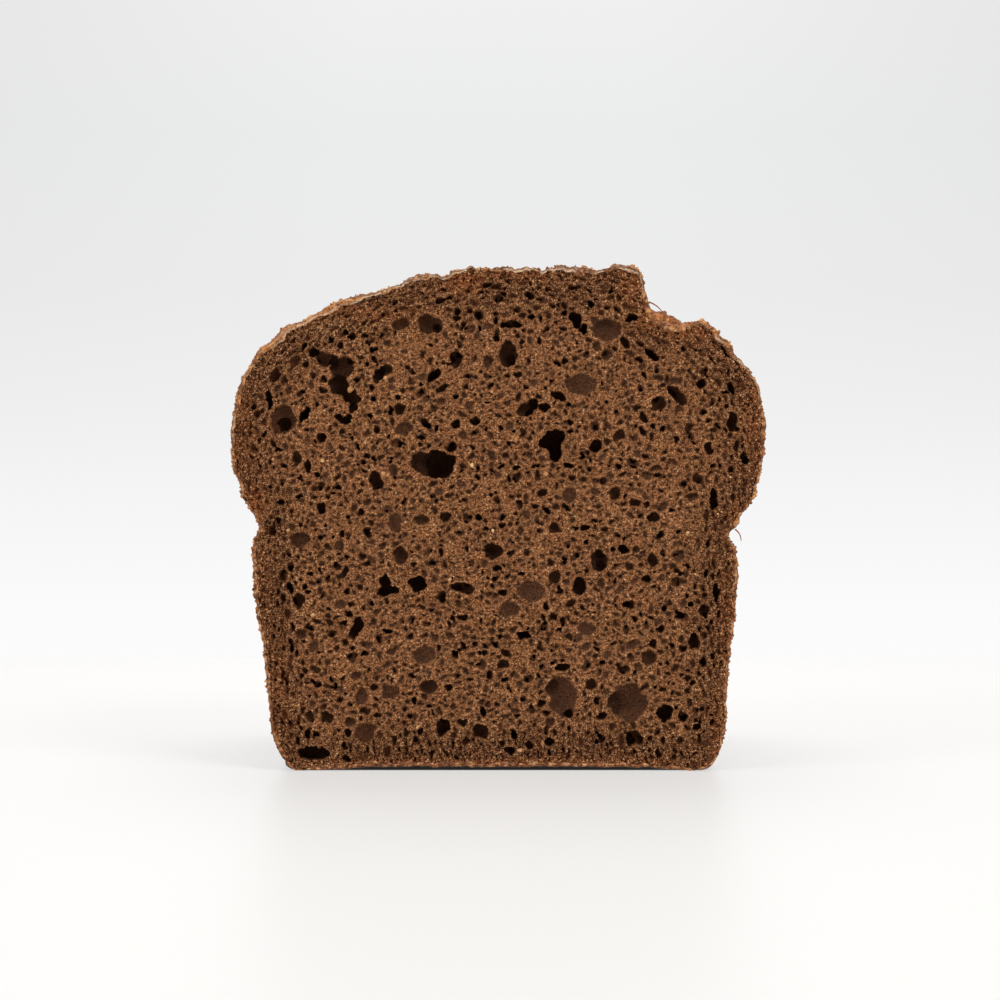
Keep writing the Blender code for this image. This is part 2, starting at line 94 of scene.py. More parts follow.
# The air cells that stand out in the cut, in mm: across, up, half-width, half-height, tilt in degrees, depth
NOTABLE_CELLS = (
    (-15.4, 76.5, 4.2, 3.3, 6, 8.0), (-19.2, 76.4, 3.2, 3.2, 0, 3.2), (-16.4, 77.4, 4.4, 2.6, 0, 5.0),
    (-11.4, 77.4, 1.4, 1.0, 0, 5.0), (-46.0, 104.2, 1.2, 1.3, 0, 3.4),
    (-43.5, 103.5, 2.0, 1.9, 0, 2.4), (-41.6, 102.9, 1.0, 1.6, 0, 4.4),
    (-38.8, 100.6, 3.3, 2.7, -8, 3.0), (-39.6, 96.6, 2.5, 2.7, 0, 4.6), (-37.2, 93.4, 2.9, 1.8, -30, 4.4),
    (-36.4, 90.8, 1.3, 1.5, 0, 3.6),
    (-54.0, 88.0, 2.8, 3.2, 0, 1.9), (-53.6, 87.0, 1.7, 1.8, 0, 4.6), (-48.8, 89.3, 2.1, 1.1, 48, 7.0),
    (-57.5, 93.4, 0.8, 2.6, 2, 4.0), (-56.4, 99.0, 1.3, 1.8, -10, 1.8),
    (-38.9, 87.4, 1.8, 1.0, 0, 3.4), (-40.3, 88.2, 0.7, 1.0, 0, 3.0), (-37.3, 88.3, 0.7, 1.1, 0, 3.0),
    (-30.0, 98.6, 1.4, 1.7, -15, 3.4), (-28.4, 100.3, 1.5, 1.4, 0, 2.2),
    (-15.6, 99.4, 2.5, 1.1, 42, 4.6), (-24.6, 111.8, 2.4, 1.6, 8, 1.5), (-16.6, 112.0, 3.4, 2.5, -8, 2.0),
    (-15.5, 110.8, 1.5, 1.2, 0, 3.4), (-36.6, 108.5, 1.1, 0.8, 0, 2.2), (-31.1, 105.5, 1.3, 0.6, 12, 3.0),
    (-11.1, 103.0, 1.8, 1.8, 0, 2.4), (-3.1, 102.8, 1.6, 1.5, 0, 1.2), (-24.1, 90.5, 1.5, 1.5, 0, 2.2),
    (-10.6, 86.8, 1.2, 1.3, 0, 2.6), (-6.1, 87.3, 1.3, 1.2, 0, 2.8), (-23.9, 85.5, 2.2, 1.4, 12, 1.0),
    (-44.1, 83.5, 1.3, 1.3, 0, 2.2), (-50.4, 78.3, 1.4, 1.9, -10, 1.8), (-30.9, 73.3, 1.7, 2.6, 12, 2.8),
    (-47.8, 76.0, 0.9, 1.8, 0, 2.6), (-44.4, 66.0, 1.0, 1.6, 12, 3.0), (-13.6, 63.8, 1.4, 1.4, 0, 2.0),
    (-25.6, 62.0, 1.8, 2.2, 0, 1.0), (-18.9, 62.5, 1.9, 1.5, 0, 1.4),
    (2.6, 104.8, 2.3, 3.4, 0, 3.0), (3.1, 111.8, 2.5, 1.1, 5, 2.4), (19.9, 112.8, 1.6, 2.3, 20, 4.6),
    (21.2, 110.6, 0.9, 1.1, 0, 3.6), (27.4, 110.0, 3.4, 2.6, -6, 1.6), (31.9, 107.0, 1.4, 1.3, 0, 2.4),
    (38.6, 104.0, 2.2, 1.1, -32, 4.4), (20.9, 96.8, 3.6, 2.5, 0, 1.1), (14.6, 93.8, 2.2, 1.0, -15, 3.0),
    (6.9, 90.5, 3.3, 1.6, 35, 2.8), (11.6, 90.8, 1.5, 1.4, 0, 3.0), (39.9, 92.0, 2.2, 1.9, 0, 2.2),
    (44.4, 94.3, 3.3, 1.4, -42, 2.6), (58.9, 87.3, 1.6, 2.3, 0, 3.0), (13.5, 83.2, 3.1, 2.4, 0, 8.0),
    (14.0, 80.6, 2.2, 2.7, 0, 8.0), (11.9, 82.0, 1.8, 1.6, 0, 6.0), (33.6, 113.2, 1.3, 0.9, 10, 3.6),
    (24.1, 81.5, 1.6, 2.0, 0, 3.6), (30.4, 83.8, 1.6, 1.5, 0, 1.8),
    (36.1, 88.3, 1.6, 1.1, -20, 2.2), (17.4, 76.3, 1.2, 0.8, 0, 3.2), (52.6, 80.3, 1.1, 2.0, 0, 2.4),
    (61.6, 78.0, 0.9, 2.0, 0, 2.8), (53.9, 68.3, 1.0, 2.8, -4, 3.2), (28.9, 69.5, 1.5, 1.4, 0, 2.0),
    (17.9, 69.0, 1.8, 1.7, 0, 0.9), (33.9, 67.3, 1.4, 1.3, 0, 2.0), (39.1, 63.8, 1.5, 1.2, 0, 2.2),
    (11.1, 69.5, 1.2, 1.3, 0, 2.0), (-49.9, 58.0, 2.5, 1.8, 8, 1.4), (-24.6, 53.3, 1.9, 2.4, 0, 2.0),
    (-28.6, 47.6, 1.2, 2.0, 0, 4.6), (-27.6, 44.8, 2.9, 1.4, 8, 5.0), (-20.6, 46.5, 2.4, 2.0, 0, 5.0),
    (-8.6, 45.8, 3.0, 1.5, -6, 2.6), (-0.9, 54.8, 2.5, 2.2, 0, 3.0), (-35.4, 35.3, 1.4, 3.2, -14, 4.0),
    (-49.9, 42.3, 1.4, 2.0, 0, 2.4), (-52.4, 45.3, 0.8, 1.5, 0, 2.8), (-27.4, 34.8, 1.1, 0.8, 0, 2.8),
    (-18.6, 29.0, 2.6, 2.2, 0, 0.9), (-16.9, 20.8, 2.3, 1.8, 0, 2.0), (-12.6, 20.5, 1.0, 1.0, 0, 2.4),
    (-27.1, 20.0, 2.0, 1.8, 0, 1.0), (-34.1, 18.3, 1.6, 2.0, 0, 1.0), (-43.1, 12.8, 1.5, 1.5, 0, 2.0),
    (-37.6, 12.0, 1.6, 1.5, 0, 1.2), (-33.6, 9.8, 2.4, 2.4, 0, 1.2), (-14.1, 11.0, 2.1, 2.0, 0, 3.2),
    (-9.1, 12.3, 1.1, 1.1, 0, 2.0), (-3.6, 9.8, 2.3, 1.6, 0, 2.6), (-45.6, 4.1, 3.9, 1.7, -4, 5.0),
    (-38.4, 3.0, 1.3, 0.8, 0, 2.4), (24.9, 52.3, 2.6, 2.5, 0, 2.8), (13.9, 48.8, 1.8, 1.8, 0, 2.0),
    (20.1, 45.8, 1.7, 2.2, -15, 3.4), (8.4, 45.0, 3.2, 2.4, 0, 0.9), (2.6, 40.5, 2.4, 1.8, 0, 0.9),
    (39.1, 52.8, 1.4, 1.9, 0, 2.2), (39.1, 63.5, 1.4, 1.1, 0, 2.2), (31.9, 55.5, 1.4, 1.0, 15, 4.0),
    (13.9, 60.5, 1.5, 1.4, 0, 2.0), (21.4, 61.0, 1.3, 0.9, 0, 2.4), (32.6, 41.5, 1.5, 1.1, 0, 2.2),
    (51.6, 39.8, 1.7, 1.5, 0, 2.4), (54.6, 45.0, 0.5, 2.3, 0, 3.0), (48.6, 32.5, 1.2, 2.2, 0, 3.0),
    (6.4, 33.8, 1.7, 1.0, 0, 4.4), (22.1, 35.5, 2.2, 1.5, 0, 0.9), (37.4, 28.0, 2.0, 1.7, 0, 1.6),
    (38.6, 31.5, 1.1, 1.1, 0, 2.4), (16.4, 25.5, 2.0, 0.9, 0, 2.8), (23.1, 21.8, 1.5, 1.5, 0, 2.0),
    (1.4, 26.3, 1.5, 1.2, 0, 2.0), (16.4, 18.5, 3.4, 4.7, 6, 1.5), (17.6, 13.9, 1.2, 1.1, 0, 3.6),
    (13.6, 20.6, 1.7, 2.0, 0, 2.4), (32.1, 17.0, 4.5, 4.2, 0, 1.6), (30.1, 17.2, 2.4, 2.8, 0, 2.6),
    (41.4, 14.3, 1.9, 2.2, 0, 5.0), (26.1, 13.3, 1.4, 1.1, 0, 2.4), (34.4, 8.0, 2.2, 2.0, 0, 2.4),
    (12.4, 7.0, 1.5, 0.9, 0, 3.0), (7.9, 6.0, 1.0, 1.2, 0, 2.4), (2.4, 5.0, 1.4, 1.1, 0, 2.4),
    (49.4, 10.8, 1.0, 1.0, 0, 2.4),
)

# Heights of the loaf's turns, in mm
FOOT_TOP = 13.0  # the rounded foot ends and the flat wall begins
RIM_HEIGHT = 49.0  # the wall begins to turn in, under the tin's rim
WAIST_HEIGHT = 60.0
BULGE_HEIGHT = 84.0  # the crown hangs out furthest here
CROWN_RISE = 41.6  # from the bulge to the top
CROWN_TOP = 125.6

# The torn step and the dips of the crown, in mm
TEAR_EDGE = 35.7  # the raised slab ends here
TEAR_WANDER = 1.6  # the step strays this far behind the cut
TEAR_FLOOR, TEAR_FLOOR_HALF = 44.6, 7.5
TEAR_LIP, TEAR_LIP_HALF = 52.4, 3.2
SAG, SAG_HALF = -33.0, 26.0
SLAB_RISE, FLOOR_DROP, LIP_RISE, SAG_DROP = 4.1, 3.9, 0.7, 1.5
TEAR_FADE, TEAR_FADE_LENGTH = 52.0, 48.0  # the step fades out from here behind the cut

# Numbers that shape the crumb, in mm
GRID_STEP = 0.2
RECESS = 10.0  # how far the crumb block reaches in behind the crust's cut edge
MEMBRANE = 0.06  # a cell behind this much crumb has broken through
SETBACK = 0.34  # room kept for crumbs and fibres that stand out from the cut
CRUMB_SPLIT = 66.0  # the crumb is parted here and down the middle
DENSE_BAND = 16.0  # the crumb grows denser over this depth under the crust
DISH_DEPTH = 2.1  # a notable cell less deep than this has smaller cells in its floor

# The grid of the crust, which is parted at the waist
CRUST_COLUMNS = 1080  # steps round the loaf
CRUST_ROWS = 139  # steps from the cut to the heel
HEEL_ROWS = 149  # steps over the heel
CRUST_TRIANGLES = 388000  # what is left of it once it is thinned
# Rows from the middle of the recess out to the cut edge: share of the way out, mm behind the cut
RECESS_ROWS = ((0.0, RECESS), (0.5, RECESS), (1.0, RECESS), (1.0, 5.0), (1.0, 1.0), (1.0, 0.0))
EDGE_ROWS = (0.8, 0.6, 0.4, 0.2)  # rows over the cut edge, in shares of its thickness

# How close the pieces come to the limits of the loaf's box, in mm, and the angles that look sharp, in degrees
SKIN_MARGIN, BIT_MARGIN = 0.05, 0.04
CRUMB_SHARP, CRUST_SHARP, BIT_SHARP = 55.0, 60.0, 50.0


def linear(level):
    """A screen level of 0 to 255, in linear light."""
    share = level / 255.0
    return share / 12.92 if level <= 10 else ((share + 0.055) / 1.055) ** 2.4


def srgb(red, green, blue):
    return linear(red), linear(green), linear(blue)


def length(name, description, default):
    kind = {"unit": "LENGTH", "subtype": "DISTANCE", "precision": 5}
    return FloatProperty(name=name, description=description, default=default, min=0.0, **kind)


def power(name, description, default):
    kind = {"unit": "POWER", "subtype": "POWER"}
    return FloatProperty(name=name, description=description, default=default, min=0.0, **kind)


def colour(name, description, *levels):
    kind = {"size": 3, "subtype": "COLOR", "min": 0.0, "max": 1.0}
    return FloatVectorProperty(name=name, description=description, default=srgb(*levels), **kind)


class LoafShape(bpy.types.PropertyGroup):
    cell_seed: IntProperty(name="Cell seed", description="Seed of the air cells' random places", default=7)
    crust_edge: length("Crust edge", "Thickness of the crust where it is cut", 0.0008)
    ragged_edge: length("Ragged edge", "How far the edge of the cut strays from its outline", 0.00034)
    crag_height: length("Crag height", "How far the crags of the crown stand out", 0.00095)
    crack_depth: length("Crack depth", "How deep the cracks in the crown are", 0.00055)


class LoafColours(bpy.types.PropertyGroup):
    crumb: colour("Crumb", "Crumb where the cut left it whole", 132, 80, 48)
    # painted shade: the cells' walls are coloured darker than the whole crumb, for the shade inside the cells
    cell: colour("Cell", "Walls of the air cells", 74, 45, 30)
    near_crust: colour("Near the crust", "Dense crumb just inside the crust", 70, 32, 15)
    toasted: colour("Toasted", "Crumb that is baked orange", 172, 90, 38)
    crown: colour("Crown", "Crust of the risen crown", 80, 47, 27)
    walls: colour("Walls", "Crust that was baked against the tin", 98, 60, 37)
    flour: colour("Flour", "Flour baked onto the crown", 206, 184, 156)
    loose: colour("Loose crumbs", "Crumbs that cling to the crust", 150, 86, 40)


class LoafStudio(bpy.types.PropertyGroup):
    key: power("Key light", "Power of the light at the right", 5.4)
    fill: power("Fill light", "Power of the light at the left", 3.6)
    top_back: power("Top light", "Power of the light over the back", 3.0)


def lattice(x, y, z, seed):
    """A random number between -1 and 1 for each whole-number point."""
    h = (x * 374761393 + y * 668265263 + z * 1440662683 + seed * 1274126177) & 0xFFFFFFFF
    h = ((h ^ (h >> 13)) * 1103515245) & 0xFFFFFFFF
    h = ((h ^ (h >> 15)) * 2246822519) & 0xFFFFFFFF
    return ((h ^ (h >> 16)) & 0xFFFFFF) / float(0x7FFFFF) - 1.0


def noise(points, spacing, seed):
    """Smooth noise between about -1 and 1."""
    p = points / spacing
    whole = np.floor(p).astype(np.int64)
    f = p - whole
    f = f * f * f * (f * (f * 6.0 - 15.0) + 10.0)
    total = 0.0
    for dx in (0, 1):
        wx = f[:, 0] if dx else 1.0 - f[:, 0]
        for dy in (0, 1):
            wy = f[:, 1] if dy else 1.0 - f[:, 1]
            for dz in (0, 1):
                wz = f[:, 2] if dz else 1.0 - f[:, 2]
                corner = lattice(whole[:, 0] + dx, whole[:, 1] + dy, whole[:, 2] + dz, seed)
                total = total + wx * wy * wz * corner
    return total


def fractal(points, spacing, octaves, seed, gain=0.5):
    """Layers of noise, each twice as fine as the one before."""
    total = 0.0
    weight = 1.0
    for octave in range(octaves):
        total = total + weight * noise(points, spacing / 2.0**octave, seed + octave)
        weight *= gain
    return total


def scatter_cells(points, spacing, seed, flat=False):
    """Distances to the two nearest of randomly scattered points, and the nearest's own random number."""
    p = points / spacing
    whole = np.floor(p).astype(np.int64)
    near = np.full(len(p), 9.0)
    second = np.full(len(p), 9.0)
    number = np.zeros(len(p))
    for dx in (-1, 0, 1):
        for dy in (0,) if flat else (-1, 0, 1):
            for dz in (-1, 0, 1):
                x, y, z = whole[:, 0] + dx, whole[:, 1] + dy, whole[:, 2] + dz
                away = np.zeros(len(p))
                for axis, base in enumerate((x, y, z)):
                    if flat and axis == 1:
                        continue
                    jitter = 0.5 + 0.42 * lattice(x, y, z, seed + 31 * axis)
                    away += (base + jitter - p[:, axis]) ** 2
                closer = away < near
                second = np.where(closer, near, np.minimum(second, away))
                number = np.where(closer, lattice(x, y, z, seed + 97), number)
                near = np.where(closer, away, near)
    return np.sqrt(near) * spacing, np.sqrt(second) * spacing, number


def smooth(value):
    """Rises softly from 0 to 1, as value does."""
    value = np.clip(value, 0.0, 1.0)
    return value * value * (3.0 - 2.0 * value)


def hump(distance, half):
    """1 at the middle of a band, falling softly to 0 at its half-width."""
    return smooth(1.0 - np.abs(distance) / half)


# The shape behind the cut: half-widths at each height, and how square the plan is there
HEIGHTS = np.linspace(0.0, CROWN_TOP, 400)
HANG_CURVE, CROWN_CURVE = 1.4, 2.15  # 2 would be a quarter of an ellipse
SQUARE_AT = (
    (0.0, 8.0), (WAIST_HEIGHT, 8.0), (BULGE_HEIGHT, 5.0), (104.0, 4.0), (118.0, 3.2), (CROWN_TOP, 2.3),
)


def side_widths(foot, wall, rim, waist, bulge):
    """Half-width of one side of the loaf at every height."""
    z = HEIGHTS
    low = 1.0 - np.minimum(z, FOOT_TOP) / FOOT_TOP
    corner = foot + (wall - foot) * np.sqrt(np.clip(1.0 - low**2, 0.0, 1.0))
    flat = wall + (rim - wall) * np.clip((z - FOOT_TOP) / (RIM_HEIGHT - FOOT_TOP), 0.0, 1.0)
    past_rim = (z - RIM_HEIGHT) / (WAIST_HEIGHT - RIM_HEIGHT)
    turn = waist + (rim - waist) * np.sqrt(np.clip(1.0 - past_rim**2, 0.0, 1.0))
    drop = np.clip((BULGE_HEIGHT - z) / (BULGE_HEIGHT - WAIST_HEIGHT), 0.0, 1.0)
    hang = waist + (bulge - waist) * (1.0 - drop**HANG_CURVE) ** (1.0 / HANG_CURVE)
    rise = np.clip((z - BULGE_HEIGHT) / CROWN_RISE, 0.0, 1.0)
    crown = bulge * (1.0 - rise**CROWN_CURVE) ** (1.0 / CROWN_CURVE)
    below = [z < top for top in (FOOT_TOP, RIM_HEIGHT, WAIST_HEIGHT, BULGE_HEIGHT)]
    return np.select(below, [corner, flat, turn, hang], crown)


RIGHT_WIDTHS = side_widths(50.8, 57.2, 60.5, 57.8, 67.0)
LEFT_WIDTHS = side_widths(50.6, 57.0, 61.2, 59.2, 66.7)
HEEL_WIDTHS = side_widths(46.0, 51.2, 54.4, 52.4, 59.9)
SQUARENESS = np.interp(HEIGHTS, *zip(*SQUARE_AT))


def outside(x, y, z):
    """Below 0 inside the plain loaf, above 0 outside it. y runs back from the middle of the heel's plan."""
    wide = np.where(x > 0.0, np.interp(z, HEIGHTS, RIGHT_WIDTHS), np.interp(z, HEIGHTS, LEFT_WIDTHS))
    deep = np.interp(z, HEIGHTS, HEEL_WIDTHS)
    square = np.interp(z, HEIGHTS, SQUARENESS)
    wide = np.maximum(wide, 0.01)
    deep = np.maximum(deep, 0.01)
    plan = (np.abs(x) / wide) ** square + (np.maximum(y, 0.0) / deep) ** square - 1.0
    return np.where(z > HEIGHTS[-1], 1.0, plan)


def plain_reach(direction):
    """How far the plain loaf's surface lies from the middle, along each direction, in the heel's own axes."""
    near = np.zeros(len(direction))
    far = np.full(len(direction), 120.0)
    for _ in range(26):
        middle = 0.5 * (near + far)
        p = direction * middle[:, None]
        out = outside(p[:, 0], p[:, 1], p[:, 2] + MIDDLE) > 0.0
        far = np.where(out, middle, far)
        near = np.where(out, near, middle)
    reach = 0.5 * (near + far)
    down = np.minimum(direction[:, 2], -1e-6)
    return np.where(direction[:, 2] < 0.0, np.minimum(reach, MIDDLE / -down), reach)


def tear_rise(x, along):
    """How far the torn crown stands over the plain crown, at a distance behind the cut."""
    line = np.stack([along / 30.0, np.full_like(along, 1.7), np.full_like(along, 0.37)], axis=1)
    shift = TEAR_WANDER * noise(line, 1.0, 5)
    edge = TEAR_EDGE + shift * smooth(along / 25.0)
    slab = smooth((x - 8.0) / (edge - 12.0)) * smooth((edge + 1.2 - x) / 2.4)
    floor = hump(x - TEAR_FLOOR - shift, TEAR_FLOOR_HALF)
    lip = hump(x - TEAR_LIP - shift, TEAR_LIP_HALF)
    sag = hump(x - SAG, SAG_HALF)
    rise = SLAB_RISE * slab - FLOOR_DROP * floor + LIP_RISE * lip - SAG_DROP * sag
    return rise * (1.0 - smooth((along - TEAR_FADE) / TEAR_FADE_LENGTH))


def fine_outline(step):
    """The outline of the cut, with a point at every step along it."""
    ends = np.array(CUT_OUTLINE + CUT_OUTLINE[:1])
    run = np.concatenate([[0.0], np.cumsum(np.hypot(*np.diff(ends, axis=0).T))])
    places = np.arange(0.0, run[-1], step)
    return np.stack([np.interp(places, run, ends[:, axis]) for axis in (0, 1)], axis=1)


OUTLINE = fine_outline(0.5)
OUTLINE_ANGLES = np.arctan2(OUTLINE[:, 1] - MIDDLE, OUTLINE[:, 0])
OUTLINE_REACH = np.hypot(OUTLINE[:, 0], OUTLINE[:, 1] - MIDDLE)


def cut_reach(angle):
    """How far the outline of the cut lies from the middle, in a direction."""
    order = np.argsort(OUTLINE_ANGLES)
    reach = np.interp(angle, OUTLINE_ANGLES[order], OUTLINE_REACH[order], period=2.0 * np.pi)
    around = np.stack([np.cos(angle), np.sin(angle), np.zeros_like(angle)], axis=1)
    stray = bpy.context.scene.loaf_shape.ragged_edge / MM
    ragged = stray * fractal(around * MIDDLE, 2.2, 3, 41, gain=0.65)
    # the crown's edge is the roughest, and the left shoulder's is smooth and a little worn
    crumbly = smooth((np.sin(angle) * reach + MIDDLE - 92.0) / 10.0)
    shoulder = hump(np.degrees(angle) - 137.0, 34.0)
    ragged = ragged * (0.8 + 0.5 * crumbly - 0.6 * shoulder) - 0.55 * shoulder
    low = np.sin(angle) * (reach + ragged) + MIDDLE
    return np.where(low < 0.05, reach, reach + ragged)


# Rises behind the cut: angle and half-width in radians, then height, start, run-in, end and run-out in mm
SKIN_RISES = (
    (0.88, 0.16, 2.9, 0.6, 3.2, 4.0, 22.0),  # the notch is less deep behind the cut
    (0.947, 0.036, -2.3, 0.3, 0.8, 8.0, 20.0),  # a narrow gap stays open in it
    (2.37, 0.55, 0.7, 0.4, 1.4, 5.0, 14.0),  # crumbs heap up behind the left shoulder's edge
)


def skin_rise(angle, behind):
    total = 0.0
    for middle, half, height, start, run_in, end, run_out in SKIN_RISES:
        form = hump(angle - middle, half) * smooth((behind - start) / run_in)
        total = total + height * (form * (1.0 - smooth((behind - end) / run_out)))
    return total


def loaf_surface(angle, turn, along):
    """Points on the loaf's skin before its crags.

    angle runs round the loaf. Along the straight part turn is 0 and along counts from the cut. Over the
    heel along stays at its end and turn goes from 0 to a right angle at the middle of the heel.
    """
    out = np.stack([np.cos(turn) * np.cos(angle), np.sin(turn), np.cos(turn) * np.sin(angle)], axis=1)
    reach = plain_reach(out)
    points = out * reach[:, None]
    points[:, 1] += HEEL_CENTRE
    points[:, 2] += MIDDLE
    points[:, 1] += np.where(turn > 0.0, 0.0, along - (HEEL_CENTRE - FRONT))
    behind = points[:, 1] - FRONT
    crown = smooth((points[:, 2] - BULGE_HEIGHT) / 15.0)
    points[:, 2] += crown * tear_rise(points[:, 0], behind)
    # near the cut the skin follows its outline, and the base that the cut lifts settles soon behind it
    own = np.hypot(points[:, 0], points[:, 2] - MIDDLE)
    own_angle = np.arctan2(points[:, 2] - MIDDLE, points[:, 0])
    settle = 26.0 - 23.8 * smooth((2.6 - points[:, 2]) / 1.2)
    pull = (cut_reach(own_angle) / np.maximum(own, 1e-6) - 1.0) * (1.0 - smooth(behind / settle))
    pull += skin_rise(own_angle, behind) / np.maximum(own, 1.0)
    points[:, 0] *= 1.0 + pull
    points[:, 2] = MIDDLE + (points[:, 2] - MIDDLE) * (1.0 + pull)
    return points


def inside_reach(x, z):
    """How deep each point of the cut lies inside the outline, in mm, measured towards the middle."""
    angle = np.arctan2(z - MIDDLE, x)
    return cut_reach(angle) - np.hypot(x, z - MIDDLE)


def is_free(taken, i, k):
    return 0 <= i < taken.shape[0] and 0 <= k < taken.shape[1] and not taken[i, k]


def place_cells(draw, taken, xs, zs, inner, sizes, wall, tries, crowding=None):
    """Draws round mouths for cells, largest first, that keep a wall between each other.

    Where crowding is low, cells are rarer.
    """
    found = []
    ring = [(math.cos(a), math.sin(a)) for a in np.arange(12) * math.pi / 6.0]
    rows, columns = taken.shape
    for radius in sizes:
        for _ in range(tries):
            i = draw.integers(0, rows)
            k = draw.integers(0, columns)
            if taken[i, k] or inner[i, k] < 0.7:
                continue
            if crowding is not None and crowding[i, k] < draw.uniform(-1.0, 0.0):
                continue
            r = radius * (0.42 + 0.58 * min(inner[i, k] / 7.0, 1.0))
            reach = (r + wall) / GRID_STEP
            if all(is_free(taken, int(i + c * reach), int(k + s * reach)) for c, s in ring):
                steps = int(r / GRID_STEP) + 1
                low_i, high_i = max(i - steps, 0), min(i + steps + 1, rows)
                low_k, high_k = max(k - steps, 0), min(k + steps + 1, columns)
                gi, gk = np.ogrid[low_i:high_i, low_k:high_k]
                disc = (gi - i) ** 2 + (gk - k) ** 2 <= (r / GRID_STEP) ** 2
                taken[low_i:high_i, low_k:high_k] |= disc
                found.append((xs[i], zs[k], r))
                break
    return found


def carve(depth, land, warp_x, warp_z, xs, zs, cell):
    """Hollows one cell out of the depth map, where its near wall has broken through."""
    x, z, a, b, tilt, middle, half, lean = cell
    reach = max(a, b) + 1.2
    i0, i1 = np.searchsorted(xs, (x - reach, x + reach))
    k0, k1 = np.searchsorted(zs, (z - reach, z + reach))
    if i1 <= i0 or k1 <= k0:
        return
    dx = warp_x[i0:i1, k0:k1] - x
    dz = warp_z[i0:i1, k0:k1] - z
    c, s = math.cos(tilt), math.sin(tilt)
    u = (dx * c + dz * s) / a
    w = (dz * c - dx * s) / b
    bulge = half * np.sqrt(np.clip(1.0 - u * u - w * w, 0.0, 1.0))
    bulge *= 1.0 + 0.5 * (u * math.cos(lean) + w * math.sin(lean))
    part = depth[i0:i1, k0:k1]
    open_here = (bulge > 0.0) & (middle - bulge <= part + MEMBRANE)
    part[open_here] = np.maximum(part[open_here], (middle + bulge)[open_here])
    land[i0:i1, k0:k1][open_here & (bulge > 0.35 * half)] = 0.0


def notable_cells(draw, gx, gz):
    """The cells of the table, the room that they take, and the floors of the shallow ones."""
    cells = []
    taken = np.zeros(gx.shape, dtype=bool)
    dished = np.zeros(gx.shape, dtype=bool)
    for x, z, a, b, tilt, deep in NOTABLE_CELLS:
        half = max(0.62 * deep, min(a, b) * 0.5)
        lean = draw.uniform(-math.pi, math.pi) if a < 4.2 else 0.0
        cells.append((x, z, a * 1.2, b * 1.2, math.radians(tilt), deep - half, half, lean))
        gi, gk = np.abs(gx - x) / (a + 0.3), np.abs(gz - z) / (b + 0.3)
        away = gi * gi + gk * gk
        taken |= away < 1.0
        if deep < DISH_DEPTH:
            dished |= away < 1.6
    return cells, taken, dished


# The random cells, from large to small: radius from and to in mm, and how many are tried
CELL_SIZES = ((1.5, 1.1, 90), (1.1, 0.85, 420), (0.85, 0.55, 1900), (0.55, 0.3, 4600))
# Half-depth of a random cell in its own radii, from and to, up to each share of the draws
CELL_DEPTHS = ((0.12, 1.5, 2.4), (0.52, 0.45, 0.8), (math.inf, 0.8, 1.3))


def drawn_cell(draw, x, z, r, edge):
    """A cell of random shape. Near the crust cells are deeper and drawn out along it."""
    stretch = draw.uniform(0.78, 1.34)
    tilt = draw.uniform(-0.7, 0.7)
    share = max(0.0, 1.0 - edge / 13.0)
    if share > 0.0:
        stretch = 1.0 / (1.0 + 0.75 * share * draw.uniform(0.4, 1.2))
        tilt = math.atan2(z - MIDDLE, x) * (1.0 if z > BULGE_HEIGHT else 0.0)
    kind = draw.random() - 0.3 * share
    half = r * draw.uniform(*next((low, high) for limit, low, high in CELL_DEPTHS if kind < limit))
    sunk = half * draw.uniform(-0.45, 0.4)
    grow = 1.0 / math.sqrt(1.0 - (sunk / half) ** 2)
    lean = draw.uniform(-math.pi, math.pi)
    return x, z, r * stretch * grow, r / stretch * grow, tilt, sunk, half, lean


def warped(grid, flat, seed):
    """One axis of the grid, shifted unevenly so that cells aren't true ovals."""
    return grid + (0.42 * noise(flat, 1.8, seed) + 0.26 * noise(flat, 0.8, seed + 1)).reshape(grid.shape)


